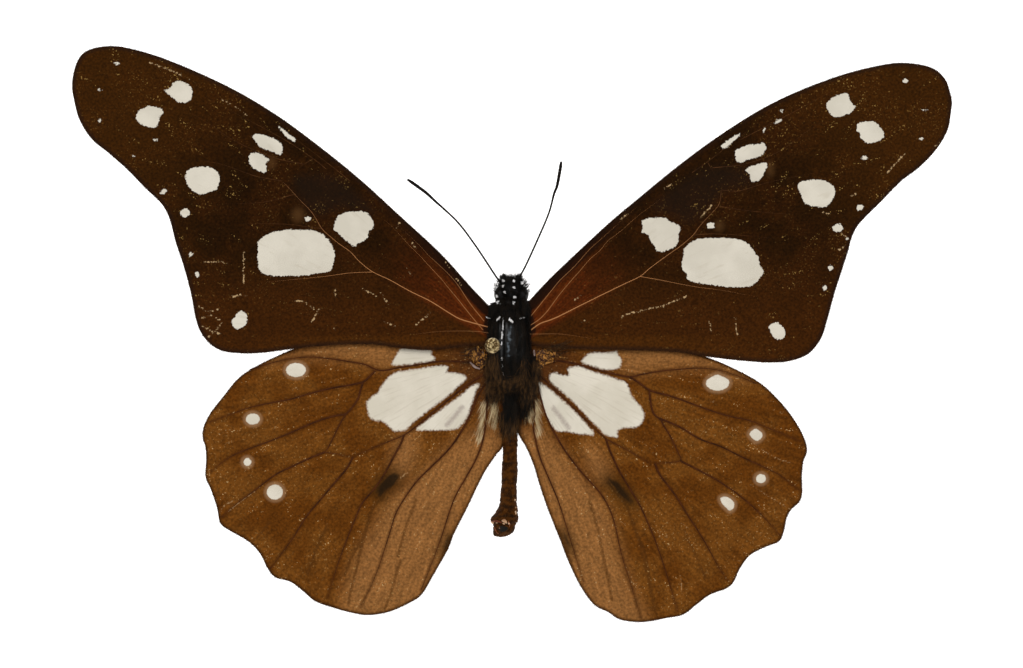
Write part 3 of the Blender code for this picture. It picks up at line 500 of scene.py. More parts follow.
WAIST_BEDS = [
    ([(484, 352), (498, 352), (503, 390), (488, 390)], (0.05, 1), 1.4, 420, 0.3),
    ([(521, 356), (527, 356), (530, 400), (520, 400)], (0.1, 1), 1.5, 260, 0.35),
    ([(533, 356), (541, 358), (537, 390), (530, 390)], (0.0, 1), 1.4, 300, 0.25),
    ([(500, 380), (526, 374), (528, 386), (502, 400)], (-1, 0.45), 1.5, 260, 0.35),
    ([(486, 376), (492, 372), (500, 392), (489, 392)], (-0.1, 1), 1.3, 140, 0.2),
    ([(528, 372), (535, 380), (531, 396), (521, 398)], (0.1, 1), 1.5, 140, 0.2),
    ([(540, 346), (562, 343), (564, 354), (542, 362)], (1, -0.3), 1.1, 60, 0.2),
    ([(466, 346), (486, 344), (486, 362), (468, 364)], (-1, 0.1), 0.9, 60, 0.2),
    ([(498, 410), (522, 408), (518, 428), (502, 430)], (0, 1), 1.2, 420, 0.2),
    ([(504, 380), (524, 376), (526, 383), (506, 394)], (-1, 0.45), 1.3, 90, 0.42),
    ([(487, 358), (498, 360), (500, 384), (490, 384)], (0.05, 1), 1.2, 60, 0.34),
]
WING_ROOT_BEDS = [
    ([(483, 404), (487, 404), (483, 430), (477, 432)], (-0.15, 1), 1.2, 20, 0.12),
    ([(491, 396), (498, 396), (498, 418), (490, 418)], (-0.02, 1), 1.3, 30, 0.14),
    ([(534, 402), (538, 402), (540, 424), (535, 424)], (0.06, 1), 1.1, 18, 0.12),
    ([(526, 398), (531, 398), (531, 414), (525, 416)], (0.04, 1), 1.3, 26, 0.14),
]

LEFT_FEELER = [
    (500, 282.5), (493.2, 272.3), (475.4, 245.5), (457.5, 222), (435, 201), (426.3, 193), (414.6, 184.4),
    (407.5, 179.5),
]
RIGHT_FEELER = [
    (519.5, 277), (526, 265), (537, 241), (548.5, 214), (554, 194), (557, 186), (560, 170), (561.2, 161.7),
]
# The legs' joints: mm out, ahead and up from the thorax's middle
FORE_LEG = [(0.55, 2.55, -1.95), (0.85, 3.10, -2.35), (0.75, 1.85, -2.75)]
MID_LEG = [(0.75, 0.30, -2.20), (2.55, 1.45, -2.85), (1.85, -1.50, -3.60), (1.30, -4.00, -3.95)]
HIND_LEG = [(0.70, -2.10, -2.00), (2.45, -3.30, -2.70), (2.10, -5.60, -3.35), (1.60, -7.70, -3.70)]


def place(px):
    """Pixels to flat metres."""
    return np.array([at(x, y) for x, y in px])


def smooth_line(points, step, closed=False):
    """Points about a step apart on a smooth curve through the given ones."""
    points = np.asarray(points, float)
    if closed:
        ends = np.vstack([points[-1], points, points[:2]])
    else:
        ends = np.vstack([2 * points[0] - points[1], points, 2 * points[-1] - points[-2]])
    line = []
    for before, start, end, after in zip(ends, ends[1:], ends[2:], ends[3:]):
        count = max(1, round(np.linalg.norm(end - start) / step))
        for t in np.arange(count) / count:
            bend = (2 * before - 5 * start + 4 * end - after) * t**2
            twist = (3 * start - before - 3 * end + after) * t**3
            line.append((2 * start + (end - before) * t + bend + twist) / 2)
    return np.array(line if closed else [*line, points[-1]])


def away_from(spots, line):
    """For many flat points: the distance to a line, and the nearest place on it."""
    best = np.full(len(spots), np.inf)
    nearest = np.zeros((len(spots), 2))
    for a, b in zip(line, line[1:]):
        along = b - a
        t = np.clip(((spots - a) @ along) / (along @ along), 0, 1)
        foot = a + t[:, None] * along
        distance = np.linalg.norm(spots - foot, axis=1)
        closer = distance < best
        best[closer] = distance[closer]
        nearest[closer] = foot[closer]
    return best, nearest


def inside(spots, ring):
    """Which flat points lie in the ring."""
    odd = np.zeros(len(spots), bool)
    for a, b in zip(ring, np.roll(ring, -1, axis=0)):
        crosses = (a[1] > spots[:, 1]) != (b[1] > spots[:, 1])
        rise = b[1] - a[1] if b[1] != a[1] else 1e-12
        odd ^= crosses & (spots[:, 0] < a[0] + (spots[:, 1] - a[1]) / rise * (b[0] - a[0]))
    return odd


def depth_in(spots, ring, reach):
    """How deep flat points lie in the ring, negative outside, and no lower than minus the reach."""
    low, high = ring.min(0) - reach, ring.max(0) + reach
    near = ((spots > low) & (spots < high)).all(1)
    depth = np.full(len(spots), -reach)
    close = spots[near]
    away = away_from(close, np.vstack([ring, ring[:1]]))[0]
    depth[near] = np.maximum(np.where(inside(close, ring), away, -away), -reach)
    return depth


def deepest(spots, outlines, reach=1.5 * MM):
    """The depth in whichever of the outlines, given in pixels, holds each point best."""
    found = np.full(len(spots), -reach)
    for outline in outlines:
        ring = smooth_line(place(outline), 0.15 * MM, closed=True)
        found = np.maximum(found, depth_in(spots, ring, reach))
    return found


def nearest_line(spots, lines, reach=1.3 * MM):
    """The distance to the nearest of the lines, given in pixels, and no more than the reach."""
    found = np.full(len(spots), reach)
    for line in lines:
        path = smooth_line(place(line), 0.4 * MM)
        low, high = path.min(0) - reach, path.max(0) + reach
        near = ((spots > low) & (spots < high)).all(1)
        found[near] = np.minimum(found[near], away_from(spots[near], path)[0])
    return found


def thorax_half_width(y):
    """How far the thorax reaches to either side at this height of the picture, or at each of many."""
    share = np.minimum(1.0, np.abs(y - THORAX.y) / THORAX_HALF[1])
    return THORAX_HALF[0] * (1 - share**2.5) ** 0.4


def ease(value, start, end):
    """From 0 to 1 as the value goes from start to end, with soft ends."""
    t = np.clip((value - start) / (end - start), 0, 1)
    return t * t * (3 - 2 * t)


def wing_height(flat, level, folds):
    """The wing's middle surface: its rise from the root, a slight wave, and a low swell between the veins."""
    out = np.abs(flat[:, 0] - THORAX.x)
    rise = WING_SLOPE * out - WING_LEVELLING * out**2
    x, y = flat[:, 0] / MM, flat[:, 1] / MM
    wave = 0.035 * np.sin(0.72 * x + 0.31 * y) + 0.025 * np.sin(0.45 * x - 0.93 * y + 1.3)
    swell = 0.055 * ease(nearest_line(flat, folds), 0.1 * MM, 1.1 * MM)
    return level + rise + (wave * ease(out, 2 * MM, 9 * MM) + swell) * MM


ABDOMEN = smooth_line([(*at(x, y), width * PIXEL / 2) for x, y, width in ABDOMEN_PX], 0.2 * MM)
ABDOMEN_RUN = ABDOMEN[0][1] - ABDOMEN[-1][1]


def link_object(name, mesh, surface):
    """Puts a mesh in the scene as a piece with its material."""
    mesh.materials.append(surface)
    obj = bpy.data.objects.new(name, mesh)
    bpy.context.scene.collection.objects.link(obj)
    return obj


def finish_form(name, bm, surface):
    """Turns the bmesh into a smooth shaded piece."""
    mesh = bpy.data.meshes.new(name)
    bmesh.ops.recalc_face_normals(bm, faces=bm.faces[:])
    bm.to_mesh(mesh)
    bm.free()
    mesh.shade_smooth()
    return link_object(name, mesh, surface)


def put(piece, node=None):
    """Fixes a piece to the object, and lets it stand in for a solid."""
    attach(piece, "root")
    if node:
        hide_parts(node)
    return piece


def wing_grid(ring):
    """A fine flat grid cut to the ring, with its rim drawn onto it."""
    low, high = ring.min(0) - CELL, ring.max(0) + CELL
    columns, rows = (int(n) for n in np.ceil((high - low) / CELL))
    bm = bmesh.new()
    bmesh.ops.create_grid(bm, x_segments=columns, y_segments=rows, size=0.5)
    middle = Matrix.Translation((*(low + high) / 2, 0))
    stretch = Matrix.Diagonal((columns * CELL, rows * CELL, 1, 1))
    bmesh.ops.transform(bm, matrix=middle @ stretch, verts=bm.verts[:])
    depth = depth_in(np.array([v.co.xy for v in bm.verts]), ring, RIM_REACH)
    outer = [v for v, d in zip(bm.verts, depth) if d < -0.35 * CELL]
    bmesh.ops.delete(bm, geom=outer, context="VERTS")
    bmesh.ops.delete(bm, geom=[v for v in bm.verts if not v.link_faces], context="VERTS")
    rim = [v for v in bm.verts if v.is_boundary]
    snapped = away_from(np.array([v.co.xy for v in rim]), np.vstack([ring, ring[:1]]))[1]
    for vert, spot in zip(rim, snapped):
        vert.co.xy = spot
    return bm


def membrane(name, side, margin, folds, level, marks, surface):
    """A wing's thin plate, with the depth in each marking kept on its points."""
    edge = smooth_line(place(margin), EDGE_STEP)
    root_ys = np.linspace(edge[-1][1] + EDGE_STEP, edge[0][1] - EDGE_STEP, 12)
    root_out = np.maximum(thorax_half_width(root_ys) - ROOT_OVERLAP, 0.05 * MM)
    ring = np.vstack([edge, np.column_stack([THORAX.x + side * root_out, root_ys])])
    bm = wing_grid(ring)

    flat = np.array([v.co.xy for v in bm.verts])
    out = np.abs(flat[:, 0] - THORAX.x)
    rim = np.clip(depth_in(flat, ring, RIM_REACH), 0, RIM_REACH)
    thick = MEMBRANE_EDGE + (MEMBRANE - MEMBRANE_EDGE) * ease(rim, 0, 0.5 * MM)
    values = {
        "vein": nearest_line(flat, folds),
        "rim": rim,
        "root": np.linalg.norm(flat - np.array([THORAX.x, THORAX.y]), axis=1),
        # Degrees, kept as if in mm, so that all the values can be scaled alike
        "bearing": np.degrees(np.arctan2(flat[:, 1] - THORAX.y, out)) * MM,
        "thick": thick,
    }
    for mark, shapes in marks.items():
        values[mark] = (deepest if mark in AREA_MARKS else nearest_line)(flat, shapes)
    layers = {key: bm.verts.layers.float.new(key) for key in values}
    for key, layer in layers.items():
        for vert, value in zip(bm.verts, values[key] / MM):
            vert[layer] = value
    for vert, height in zip(bm.verts, wing_height(flat, level, folds) - thick / 2):
        vert.co.z = height
    upper = bmesh.ops.extrude_face_region(bm, geom=bm.faces[:], use_keep_orig=True)["geom"]
    for vert in upper:
        if isinstance(vert, bmesh.types.BMVert):
            vert.co.z += vert[layers["thick"]] * MM
    return finish_form(name, bm, surface)


def threads(name, routes, surface, roundness=0):
    """Round tapered threads in one mesh: each route is a list of (point, radius)."""
    curve = bpy.data.curves.new(name, "CURVE")
    curve.dimensions = "3D"
    curve.bevel_depth = 1.0
    curve.bevel_resolution = roundness
    curve.use_fill_caps = True
    for route in routes:
        spline = curve.splines.new("POLY")
        spline.points.add(len(route) - 1)
        for point, (spot, radius) in zip(spline.points, route):
            point.co = (*spot, 1.0)
            point.radius = radius
    guide = bpy.data.objects.new(name + "_guide", curve)
    bpy.context.scene.collection.objects.link(guide)
    bpy.context.view_layer.update()
    shape = guide.evaluated_get(bpy.context.evaluated_depsgraph_get())
    mesh = bpy.data.meshes.new_from_object(shape)
    mesh.name = name
    bpy.data.objects.remove(guide)
    mesh.materials.clear()
    mesh.shade_smooth()
    return link_object(name, mesh, surface)


def round_form(name, sides, rings, spot, surface):
    """A closed round body: a ball whose point at an angle and a share of its length goes where spot says."""
    bm = bmesh.new()
    bmesh.ops.create_uvsphere(bm, u_segments=sides, v_segments=rings, radius=1.0)
    for vert in bm.verts:
        angle = math.atan2(vert.co.y, vert.co.x)
        share = math.acos(max(-1.0, min(1.0, vert.co.z))) / math.pi
        vert.co = spot(angle, share)
    return finish_form(name, bm, surface)


def power(value, exponent):
    """A power that keeps the value's sign."""
    return math.copysign(abs(value) ** exponent, value)


def dip(value, middle, width):
    """A soft notch: 1 at the middle, 0 a width away."""
    return max(0.0, 1 - ((value - middle) / width) ** 2) ** 2


def rough(spot, size, depth):
    """Uneven skin: lumps of about this size, up to this depth."""
    return depth * noise.fractal(spot / size, 0.8, 2.1, 3)


def thorax_sag(y):
    """How far the thorax's back falls off towards its ends."""
    return 0.25 * MM * ((y - THORAX.y - 1.0 * MM) / THORAX_HALF[1]) ** 2


def thorax_spot(angle, share):
    """The thorax: two glossy lobes beside a mid furrow, the shield behind them, and a neck collar."""
    y = THORAX.y + THORAX_HALF[1] * math.cos(math.pi * share)
    width = float(thorax_half_width(y))
    height = THORAX_HALF[2] * width / THORAX_HALF[0]
    out, up = power(math.cos(angle), 0.9), power(math.sin(angle), 0.9)
    x = THORAX.x + width * out
    lap = LAP_Y + 0.55 * MM * (1 - abs(out))
    notch = 0.16 * dip(x, FURROW_X, 0.22 * MM) * (y > LAP_Y)
    notch += 0.22 * dip(y, lap, 0.30 * MM) + 0.18 * dip(y, THORAX.y + 2.75 * MM, 0.35 * MM)
    notch += 0.10 * dip(x, THORAX.x + 0.85 * MM, 0.20 * MM) * dip(y, THORAX.y + 0.8 * MM, 2.2 * MM)
    spot = Vector((x, y, THORAX_LEVEL + height * up - thorax_sag(y) * (up > 0)))
    inward = Vector((out * 0.4, 0, up)).normalized()
    return spot - inward * (notch * max(0.0, up) * MM + rough(spot, 0.5 * MM, 0.03 * MM) + 0.03 * MM)


def abdomen_at(share):
    """The abdomen's middle and radius at a share of its length, with each ring lapping over the next."""
    where_in = share * (len(ABDOMEN) - 1)
    low = min(int(where_in), len(ABDOMEN) - 2)
    x, y, radius = ABDOMEN[low] + (ABDOMEN[low + 1] - ABDOMEN[low]) * (where_in - low)
    for start, end in zip(RING_STARTS, (*RING_STARTS[1:], 1.0)):
        if start < share < end and share < 0.88:
            radius *= 0.90 + 0.10 * ((share - start) / (end - start)) ** 0.5
    return Vector((x, y, THORAX_LEVEL + (0.50 - 0.55 * share) * MM)), max(radius, 0.02 * MM)


def abdomen_spot(angle, share):
    """The abdomen's skin: rings that slant a little, and an open end with a hollow between its claspers."""
    slant = 0.010 * math.cos(angle) * (0.2 < share < 0.85)
    middle, radius = abdomen_at(min(max(share + slant, 0.0), 1.0))
    hollow = 0.35 * radius * dip(share, 0.955, 0.05) * (math.sin(angle) > 0) * math.sin(angle)
    spot = middle + Vector((radius * math.cos(angle), 0, (0.92 * radius - hollow) * math.sin(angle)))
    inward = Vector((math.cos(angle), 0, math.sin(angle)))
    return spot - inward * (rough(spot, 0.22 * MM, 0.035 * MM) + 0.01 * MM)


def ball(name, centre, half, surface, sides=48, rings=32, turn=Matrix.Identity(3), lumps=(0.3, 0.0)):
    """An egg-shaped form with these half sizes, turned about its centre, with lumps: (size, depth) in mm."""
    def spot(angle, share):
        ring = math.sin(math.pi * share)
        across = (half[0] * ring * math.cos(angle), half[1] * ring * math.sin(angle))
        away = turn @ Vector((*across, half[2] * math.cos(math.pi * share)))
        return Vector(centre) + away * (1 - abs(rough(away, lumps[0] * MM, lumps[1] * MM)) / half[0])

    return round_form(name, sides, rings, spot, surface)


def eye(name, side, surface):
    """A compound eye: a ball of small domed facets."""
    half = Vector((0.62 * MM, 0.74 * MM, 0.80 * MM))
    centre = Vector((HEAD_X + side * 0.86 * MM, HEAD_Y - 0.36 * MM, HEAD_LEVEL))
    coarse = bmesh.new()
    bmesh.ops.create_icosphere(coarse, subdivisions=5, radius=1.0)
    middles = KDTree(len(coarse.verts))
    for i, vert in enumerate(coarse.verts):
        middles.insert(vert.co, i)
    coarse.free()
    middles.balance()
    bm = bmesh.new()
    bmesh.ops.create_icosphere(bm, subdivisions=7, radius=1.0)
    for vert in bm.verts:
        away = middles.find(vert.co)[2]
        vert.co = centre + half * vert.co * (1.0 - 0.02 * (away / 0.045) ** 2)
    return finish_form(name, bm, surface)


def spots_on(obj, count, dice, keep=None):
    """Random places on a piece's skin, with the way the skin faces."""
    # Blender lists a sphere's faces in another order each run, so they are put in the order of their corners,
    # and each starts from its first corner
    faces = {}
    for face in obj.data.polygons:
        corners = list(face.vertices)
        first = corners.index(min(corners))
        faces[tuple(corners[first:] + corners[:first])] = round(face.area / MM**2, 8)
    faces = sorted(faces.items())
    found = []
    for corners, _ in dice.choices(faces, [area for _, area in faces], k=count):
        points = [obj.data.vertices[i] for i in corners]
        a, b, c, d = (point.co for point in (*points[:3], points[-1]))
        u, v = dice.random(), dice.random()
        spot = a.lerp(b, u).lerp(d.lerp(c, u), v)
        if keep is None or keep(spot):
            found.append((spot, points[0].normal.copy()))
    return found


def fur_routes(spots, flow, length, radius, dice, rise=0.5):
    """Hairs, this long and thick in mm, that stand up from the skin and lean over with the flow."""
    routes = []
    radius *= MM
    for spot, facing in spots:
        along = (Vector(flow) - facing * facing.dot(Vector(flow))).normalized()
        stray = Vector((dice.uniform(-1, 1), dice.uniform(-1, 1), dice.uniform(-1, 1))) * 0.35
        first = (facing * rise + along + stray).normalized()
        later = (facing * rise * 0.3 + along + stray * 1.6).normalized()
        long = length * MM * dice.uniform(0.6, 1.2)
        start = spot - facing * 0.02 * MM
        middle = start + first * long * 0.4
        routes.append([(start, radius), (middle, radius * 0.8), (middle + later * long * 0.6, radius * 0.2)])
    return routes


def top_height(x, y):
    """How high the upper side is at a flat place: the thorax, the abdomen, the head or the wings."""
    heights = []
    out = abs(x - THORAX.x)
    width = float(thorax_half_width(y))
    if out < width:
        height = THORAX_HALF[2] * width / THORAX_HALF[0] * (1 - (out / width) ** 2.22) ** 0.45
        heights.append(THORAX_LEVEL + height - thorax_sag(y))
    share = (ABDOMEN[0][1] - y) / ABDOMEN_RUN
    if 0 < share < 1:
        middle, radius = abdomen_at(share)
        if abs(x - middle.x) < radius:
            heights.append(middle.z + 0.92 * math.sqrt(radius**2 - (x - middle.x) ** 2))
    across, along = (x - HEAD_X) / HEAD_HALF[0], (y - HEAD_Y) / HEAD_HALF[1]
    if across**2 + along**2 < 1:
        heights.append(HEAD_LEVEL + HEAD_HALF[2] * math.sqrt(1 - across**2 - along**2))
    elif abs(x - HEAD_X) < HEAD_HALF[0] and y > HEAD_Y:
        return HEAD_LEVEL
    level = FOREWING_LEVEL if y > WINGS_PART_Y else HINDWING_LEVEL
    heights.append(level + WING_SLOPE * out - WING_LEVELLING * out**2 + 0.06 * MM)
    return max(heights)


def laid_hair(spot, way, long, lift, radius, dice):
    """One long hair from a flat spot, bent a little aside and arched a little over the skin."""
    turn, curl = dice.gauss(0, 0.22), dice.gauss(0, 0.22)
    long *= dice.uniform(0.6, 1.25)
    lift *= dice.uniform(0.3, 1.0)
    flat, heights, radii = [], [], []
    for step in range(HAIR_POINTS):
        bearing = turn + curl * step / (HAIR_POINTS - 1)
        cos, sin = math.cos(bearing), math.sin(bearing)
        arch = lift * math.sin(math.pi * (step + 0.4) / HAIR_POINTS)
        flat.append(spot)
        heights.append(top_height(*spot) + arch - 0.03 * MM * (step == 0))
        radii.append(radius * (1 - 0.18 * step))
        ahead = np.array([way[0] * cos - way[1] * sin, way[0] * sin + way[1] * cos])
        spot = spot + ahead * long / (HAIR_POINTS - 1)
    # A hair bridges hollows rather than following them
    for i in range(1, HAIR_POINTS - 1):
        heights[i] = max(heights[i], (heights[i - 1] + heights[i + 1]) / 2)
    return [((x, y, z), r) for (x, y), z, r in zip(flat, heights, radii)]


def combed_routes(beds, radius, dice):
    """Long hairs laid over the body and the wing roots, this thick in mm."""
    routes = []
    for outline, way, length, count, lift in beds:
        ring = place(outline)
        low, high = ring.min(0), ring.max(0)
        way = np.array([way[0], -way[1]]) / np.hypot(*way)
        made = 0
        while made < count:
            spot = np.array([dice.uniform(low[0], high[0]), dice.uniform(low[1], high[1])])
            if inside(spot[None], ring)[0]:
                made += 1
                routes.append(laid_hair(spot, way, length * MM, lift * MM, radius * MM, dice))
    return routes


def vein_route(line, level, folds, radii):
    """A vein as a thread in the wing's surface, thinning from the first radius in mm to the last."""
    flat = smooth_line(place(line), 0.3 * MM)
    heights = wing_height(flat, level, folds)
    return [((x, y, z), r * MM) for (x, y), z, r in zip(flat, heights, np.linspace(*radii, len(flat)))]


def ridge_routes(ridges, step, least, height):
    """Low ridges that thin towards their ends: each is (line in pixels, half width in mm)."""
    routes = []
    for line, thick in ridges:
        flat = smooth_line(place(line), step)
        swell = least + (1 - least) * np.sin(math.pi * np.linspace(0, 1, len(flat)))
        routes.append([((x, y, height(x, y)), thick * MM * end) for (x, y), end in zip(flat, swell)])
    return routes


def fringe(name, margin, level, folds, surface, dice):
    """The fine comb of hair scales along a wing's margin."""
    edge = smooth_line(place(margin), 0.06 * MM)
    heights = wing_height(edge, level, folds)
    along = np.gradient(edge, axis=0)
    along /= np.linalg.norm(along, axis=1)[:, None]
    out = np.column_stack([along[:, 1], -along[:, 0]])
    out[inside(edge + out * 0.1 * MM, edge[::8])] *= -1
    routes = []
    for spot, z, ahead, away in zip(edge, heights, along, out):
        for _ in range(2):
            start = spot - away * 0.08 * MM
            end = spot + (away + 0.5 * dice.uniform(-1, 1) * ahead) * dice.uniform(0.02, 0.10) * MM
            level_z = z + dice.uniform(-0.02, 0.02) * MM
            routes.append([((*start, level_z), 0.016 * MM), ((*end, level_z), 0.006 * MM)])
    return threads(name, routes, surface)


def linear(code):
    """An sRGB hex colour as linear RGBA."""
    parts = [int(code[i:i + 2], 16) / 255 for i in (1, 3, 5)]
    return (*[c / 12.92 if c <= 0.04045 else ((c + 0.055) / 1.055) ** 2.4 for c in parts], 1.0)


def add(tree, kind, settings, inputs, out=0):
    """Adds a node, sets it, gives its inputs values, hex colours or links, and returns one of its outputs."""
    node = tree.nodes.new("ShaderNode" + kind)
    for key, value in settings.items():
        setattr(node, key, value)
    for key, value in inputs.items():
        if isinstance(value, bpy.types.NodeSocket):
            tree.links.new(value, node.inputs[key])
        else:
            node.inputs[key].default_value = linear(value) if isinstance(value, str) else value
    return node.outputs[out]


def new_surface(name, **sockets):
    """A material with only its Principled shader: returns the material, its tree and the shader."""
    made = bpy.data.materials.new(name)
    made.use_nodes = True
    shader = made.node_tree.nodes["Principled BSDF"]
    for key, value in sockets.items():
        shader.inputs[key.replace("_", " ")].default_value = value
    return made, made.node_tree, shader


def paint(tree, shader, colour, height=None, strength=0.0, depth=0.0):
    """Links the colour to the shader and, with a height, a relief of this strength and depth in mm."""
    tree.links.new(colour, shader.inputs["Base Color"])
    if height is not None:
        bump = add(tree, "Bump", {}, {"Strength": strength, "Distance": depth * MM, "Height": height})
        tree.links.new(bump, shader.inputs["Normal"])


def texture(tree, size, detail=4.0, swirl=0.0, stretch=None):
    """Uneven cells about this many mm across, fixed to the object, stretched by one over each of stretch."""
    spots = add(tree, "TexCoord", {}, {}, "Object")
    if stretch:
        spots = add(tree, "Mapping", {}, {"Vector": spots, "Scale": stretch})
    return add(tree, "TexNoise", {}, {
        "Vector": spots, "Scale": 1 / (size * MM), "Detail": detail, "Distortion": swirl})


def where(tree, *limits):
    """The product of the limits. Each is a share, or (value, start, end, top, bottom), which goes softly
    from the bottom, 0 if left out, to the top, 1 if left out, as the value goes from start to end."""
    share = None
    for limit in limits:
        if isinstance(limit, tuple):
            value, start, end, top, bottom = (*limit, *(1.0, 0.0)[len(limit) - 3:])
            limit = add(tree, "MapRange", {"interpolation_type": "SMOOTHSTEP"},
                        {"Value": value, "From Min": start, "From Max": end, "To Min": bottom, "To Max": top})
        share = limit if share is None else add(tree, "Math", {"operation": "MULTIPLY"}, {0: share, 1: limit})
    return share


def overlay(tree, colour, *layers):
    """Lays one tint after another over a colour: each layer is a tint and the limits of where it lies."""
    for tint, *limits in layers:
        colour = add(tree, "Mix", {"data_type": "RGBA"}, {0: where(tree, *limits), 6: colour, 7: tint}, 2)
    return colour


def uneven(tree, value, *shifts):
    """A value shifted by textures: each shift is (texture, least, most)."""
    for cells, least, most in shifts:
        shift = add(tree, "MapRange", {"clamp": False}, {"Value": cells, "To Min": least, "To Max": most})
        value = add(tree, "Math", {"operation": "ADD"}, {0: value, 1: shift})
    return value


def shaded(tree, colour, cells, least, most):
    """A colour made darker and lighter by a texture, from least to most times as light."""
    light = add(tree, "MapRange", {}, {
        "Value": cells, "From Min": 0.3, "From Max": 0.7, "To Min": least, "To Max": most})
    return add(tree, "VectorMath", {"operation": "SCALE"}, {0: colour, "Scale": light})


def mottled(name, tones, size, between=(0.35, 0.65), relief=(), easing="LINEAR", detail=4.0, swirl=0.0,
            stretch=None, **sockets):
    """A surface that shifts between two tones by a texture, with relief as (strength, depth in mm)."""
    made, tree, shader = new_surface(name, **sockets)
    cells = texture(tree, size, detail, swirl, stretch)
    share = add(tree, "MapRange", {"interpolation_type": easing},
                {"Value": cells, "From Min": between[0], "From Max": between[1]})
    colour = overlay(tree, tones[0], (tones[1], share))
    paint(tree, shader, colour, cells if relief else None, *relief)
    return made


def wing_fields(tree, *marks):
    """What a wing's colours go by: the depths kept on its points, in mm, and the textures of its scales."""
    marks = ("root", "bearing", *marks)
    on = {mark: add(tree, "Attribute", {"attribute_name": mark}, {}, "Fac") for mark in marks}
    fan = add(tree, "CombineXYZ", {}, {0: on["bearing"], 1: on["root"]})
    fan = add(tree, "VectorMath", {"operation": "MULTIPLY"}, {0: fan, 1: (0.9, 0.42, 0.0)})
    on["streaks"] = add(tree, "TexNoise", {}, {"Vector": fan, "Scale": 1.0, "Detail": 4.0})
    on["cloud"] = texture(tree, 3.2)
    on["tone"] = where(tree, (on["cloud"], 0.38, 0.62))
    # Real scales are 0.1 mm long: these are drawn as coarse as they need to be to show
    on["grain"] = texture(tree, 0.20, 3.0)
    on["fine"] = texture(tree, 0.15, 2.0)
    return SimpleNamespace(**on)


def dark_wing_scales():
    """Dark forewing scales: matt, nearly black brown, redder by the root, rubbed to gold in fine specks."""
    made, tree, shader = new_surface("dark_wing_scales", Roughness=0.8, Specular_IOR_Level=0.03)
    on = wing_fields(tree, "spot", "vein", "rim", "scuff", "smudge", "soot")
    up = add(tree, "SeparateXYZ", {}, {0: add(tree, "TexCoord", {}, {}, "Object")}, "Y")
    by_root = where(tree, (on.root, 15.0, 2.5), (on.bearing, 26.0, 34.0))
    outer = where(tree, (on.root, 12.0, 34.0, 1.0, 0.2))
    colour = overlay(
        tree, "#211002",
        ("#2C1503", on.tone),
        ("#412305", (on.root, 26.0, 38.0, 0.55)),
        ("#3E1F05", (up, *LOWER_HALF, 0.75)),
        ("#442406", 0.8, (up, *LOWER_STRIP), (on.root, 26.0, 12.0)),
        ("#4C1E06", 0.8, by_root),
        ("#742C0A", 0.35, (on.streaks, 0.50, 0.66), by_root))
    colour = shaded(tree, colour, on.grain, 0.60, 1.40)
    thin = uneven(tree, on.scuff, (on.grain, -0.26, 0.26))
    colour = overlay(
        tree, colour,
        ("#1C130C", (on.soot, -0.8, 0.6, 0.6)),
        ("#7A3E14", 0.2, (on.vein, 0.30, 0.06), by_root),
        # Worn scales let the golden membrane through, most of all in the outer third
        ("#86622E", 0.5, (on.fine, 0.62, 0.68), (on.cloud, 0.46, 0.64, 1.0, 0.06), outer),
        ("#B8924E", 0.7, (on.streaks, 0.58, 0.64), (on.fine, 0.60, 0.66), outer),
        # The rim is darker, most of all the broad band by the root of the leading margin
        ("#20130C", (on.rim, 0.50, 0.10, 0.7)),
        ("#170C06", (on.rim, 0.98, 0.70, 0.9), (on.root, 20.0, 6.0), (on.bearing, 30.0, 38.0)),
        ("#5C3E20", (on.smudge, -0.5, 0.4, 0.5)),
        ("#BE9E72", (thin, 0.07, -0.02, 0.85)))
    chalk = overlay(tree, "#D9D1C0", ("#CFC7B6", on.tone), ("#B4A892", (on.streaks, 0.55, 0.70, 0.25)))
    white = uneven(tree, on.spot, (on.grain, -0.14, 0.14), (on.fine, -0.10, 0.10))
    colour = overlay(tree, colour, (chalk, (white, -0.03, 0.04)))
    paint(tree, shader, colour, on.fine, 0.3, 0.03)
    return made


